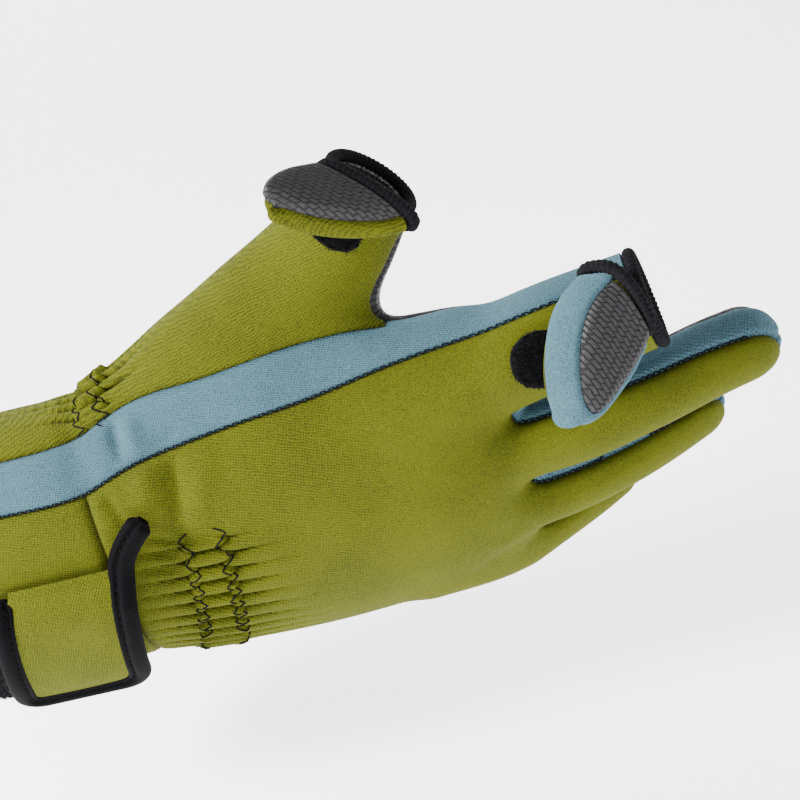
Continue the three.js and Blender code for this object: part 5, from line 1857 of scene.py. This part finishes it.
# %% Loop pile
PILE_ENDS, PILE_ANGLES = (0.10, 0.85), (-1.75, -0.44)
PILE_TOP, PILE_UNDER, LOOP_FOOT, LOOPS = 2.2, 0.6, 2.1, 5200
share, turn = np.meshgrid(np.linspace(*PILE_ENDS, 50), np.linspace(*PILE_ANGLES[::-1], 80), indexing="ij")
upper = hand_point(share * CUFF_LENGTH, turn, PILE_TOP)
lower = hand_point(share * CUFF_LENGTH, turn, PILE_UNDER)
points, faces = sheet_grid(upper, lower)
finish_piece(make("strap_pile_pad", points, faces), "pile", "strap_pile")
share, turn = random.uniform(*PILE_ENDS, LOOPS), random.uniform(*PILE_ANGLES, LOOPS)
bases = hand_point(share * CUFF_LENGTH, turn, LOOP_FOOT)
outwards = unit(hand_point(share * CUFF_LENGTH, turn, 3.0) - bases)
hair, hair_faces = bristles(bases, outwards, 0.9, 0.12)
finish_piece(make("strap_pile_loops", hair, hair_faces), "pile", None)
print("pile:", LOOPS, "loops,", len(hair_faces), "triangles")

# %% [markdown]
# ## Camera
# The camera stands where the photograph was taken from. It looks down on the glove from a little to
# the right, and is rolled as the photograph is. From here on, places are in metres.

# %% Camera
AIM = np.array([0.150, -0.008, 0.023])
AZIMUTH, ELEVATION, ROLL, DISTANCE = math.radians(6), math.radians(25), math.radians(16), 0.400
forward = np.array([
    -math.sin(AZIMUTH) * math.cos(ELEVATION), math.cos(AZIMUTH) * math.cos(ELEVATION), -math.sin(ELEVATION)])
right = np.array([math.cos(AZIMUTH), math.sin(AZIMUTH), 0.0])
above = np.cross(right, forward)
right, above = (
    right * math.cos(ROLL) - above * math.sin(ROLL),
    right * math.sin(ROLL) + above * math.cos(ROLL),
)
camera_data = bpy.data.cameras.new("camera")
camera_data.sensor_width = 36.0
camera_data.lens = 63.0
camera = bpy.data.objects.new("camera", camera_data)
bpy.context.scene.collection.objects.link(camera)
turn = mathutils.Matrix([[right[k], above[k], -forward[k]] for k in range(3)])
camera.matrix_world = mathutils.Matrix.Translation(AIM - forward * DISTANCE) @ turn.to_4x4()
camera_data.clip_start = 0.01
bpy.context.scene.camera = camera
print("camera at", np.round(AIM - forward * DISTANCE, 3), "m")

# %% [markdown]
# ## Light and floor
# A pale sweep of paper glows a little itself, as an evenly lit studio does. One soft lamp from the left
# gives the cloth its form, a weak one opens the shadows, and the pale world fills the rest.


# %% Lamps and world
def soft_lamp(name, place, aim, size, power, colour):
    """A square area lamp at a place, facing its aim."""
    data = bpy.data.lights.new(name, "AREA")
    data.shape, data.size, data.energy, data.color = "SQUARE", size, power, colour
    lamp = bpy.data.objects.new(name, data)
    bpy.context.scene.collection.objects.link(lamp)
    lamp.location = place
    away = mathutils.Vector(aim) - mathutils.Vector(place)
    lamp.rotation_euler = away.to_track_quat("-Z", "Y").to_euler()


MIDDLE = (0.14, 0.0, 0.0)
soft_lamp("key", (-0.46, -0.22, 0.46), MIDDLE, 0.22, 20.0, (1.0, 0.99, 0.97))
soft_lamp("fill", (0.55, -0.75, 0.25), MIDDLE, 0.8, 2.0, (0.97, 0.98, 1.0))
world = bpy.data.worlds.new("pale studio")
world.use_nodes = True
background = world.node_tree.nodes["Background"]
background.inputs["Color"].default_value = (0.93, 0.94, 0.96, 1.0)
background.inputs["Strength"].default_value = 0.5
bpy.context.scene.world = world
print("lamps:", len(bpy.data.lights))

# %% [markdown]
# The floor runs back and turns up into a wall on a quarter circle, so that the camera sees no horizon.
# It is a profile carried along x.

# %% Floor
FLOOR_HEIGHT, BEND_START, BEND_RADIUS = -0.10, 0.45, 0.35
FLOOR_FRONT, WALL_TOP, FLOOR_SIDES = -1.4, 1.6, (-2.5, 2.8)
turn_up = np.linspace(0, math.pi / 2, 13)
profile = np.concatenate([
    [[FLOOR_FRONT, FLOOR_HEIGHT]],
    np.stack([BEND_START + BEND_RADIUS * np.sin(turn_up),
              FLOOR_HEIGHT + BEND_RADIUS * (1 - np.cos(turn_up))], 1),
    [[BEND_START + BEND_RADIUS, WALL_TOP]],
])
sweep = np.concatenate([np.column_stack([np.full(len(profile), x), profile]) for x in FLOOR_SIDES])
row = len(profile)
k = np.arange(row - 1)
backdrop = make("backdrop", sweep * 1000, np.stack([k, k + row, k + row + 1, k + 1], 1))
studio = Look("pale backdrop", roughness=0.9)
studio.colour((0.90, 0.90, 0.905))
studio.put(studio.shader, "Emission Color", (1.0, 1.0, 1.0, 1.0))
studio.put(studio.shader, "Emission Strength", 2.2)
backdrop.data.materials.append(studio.material)
print("floor:", len(backdrop.data.polygons), "faces")

# %% [markdown]
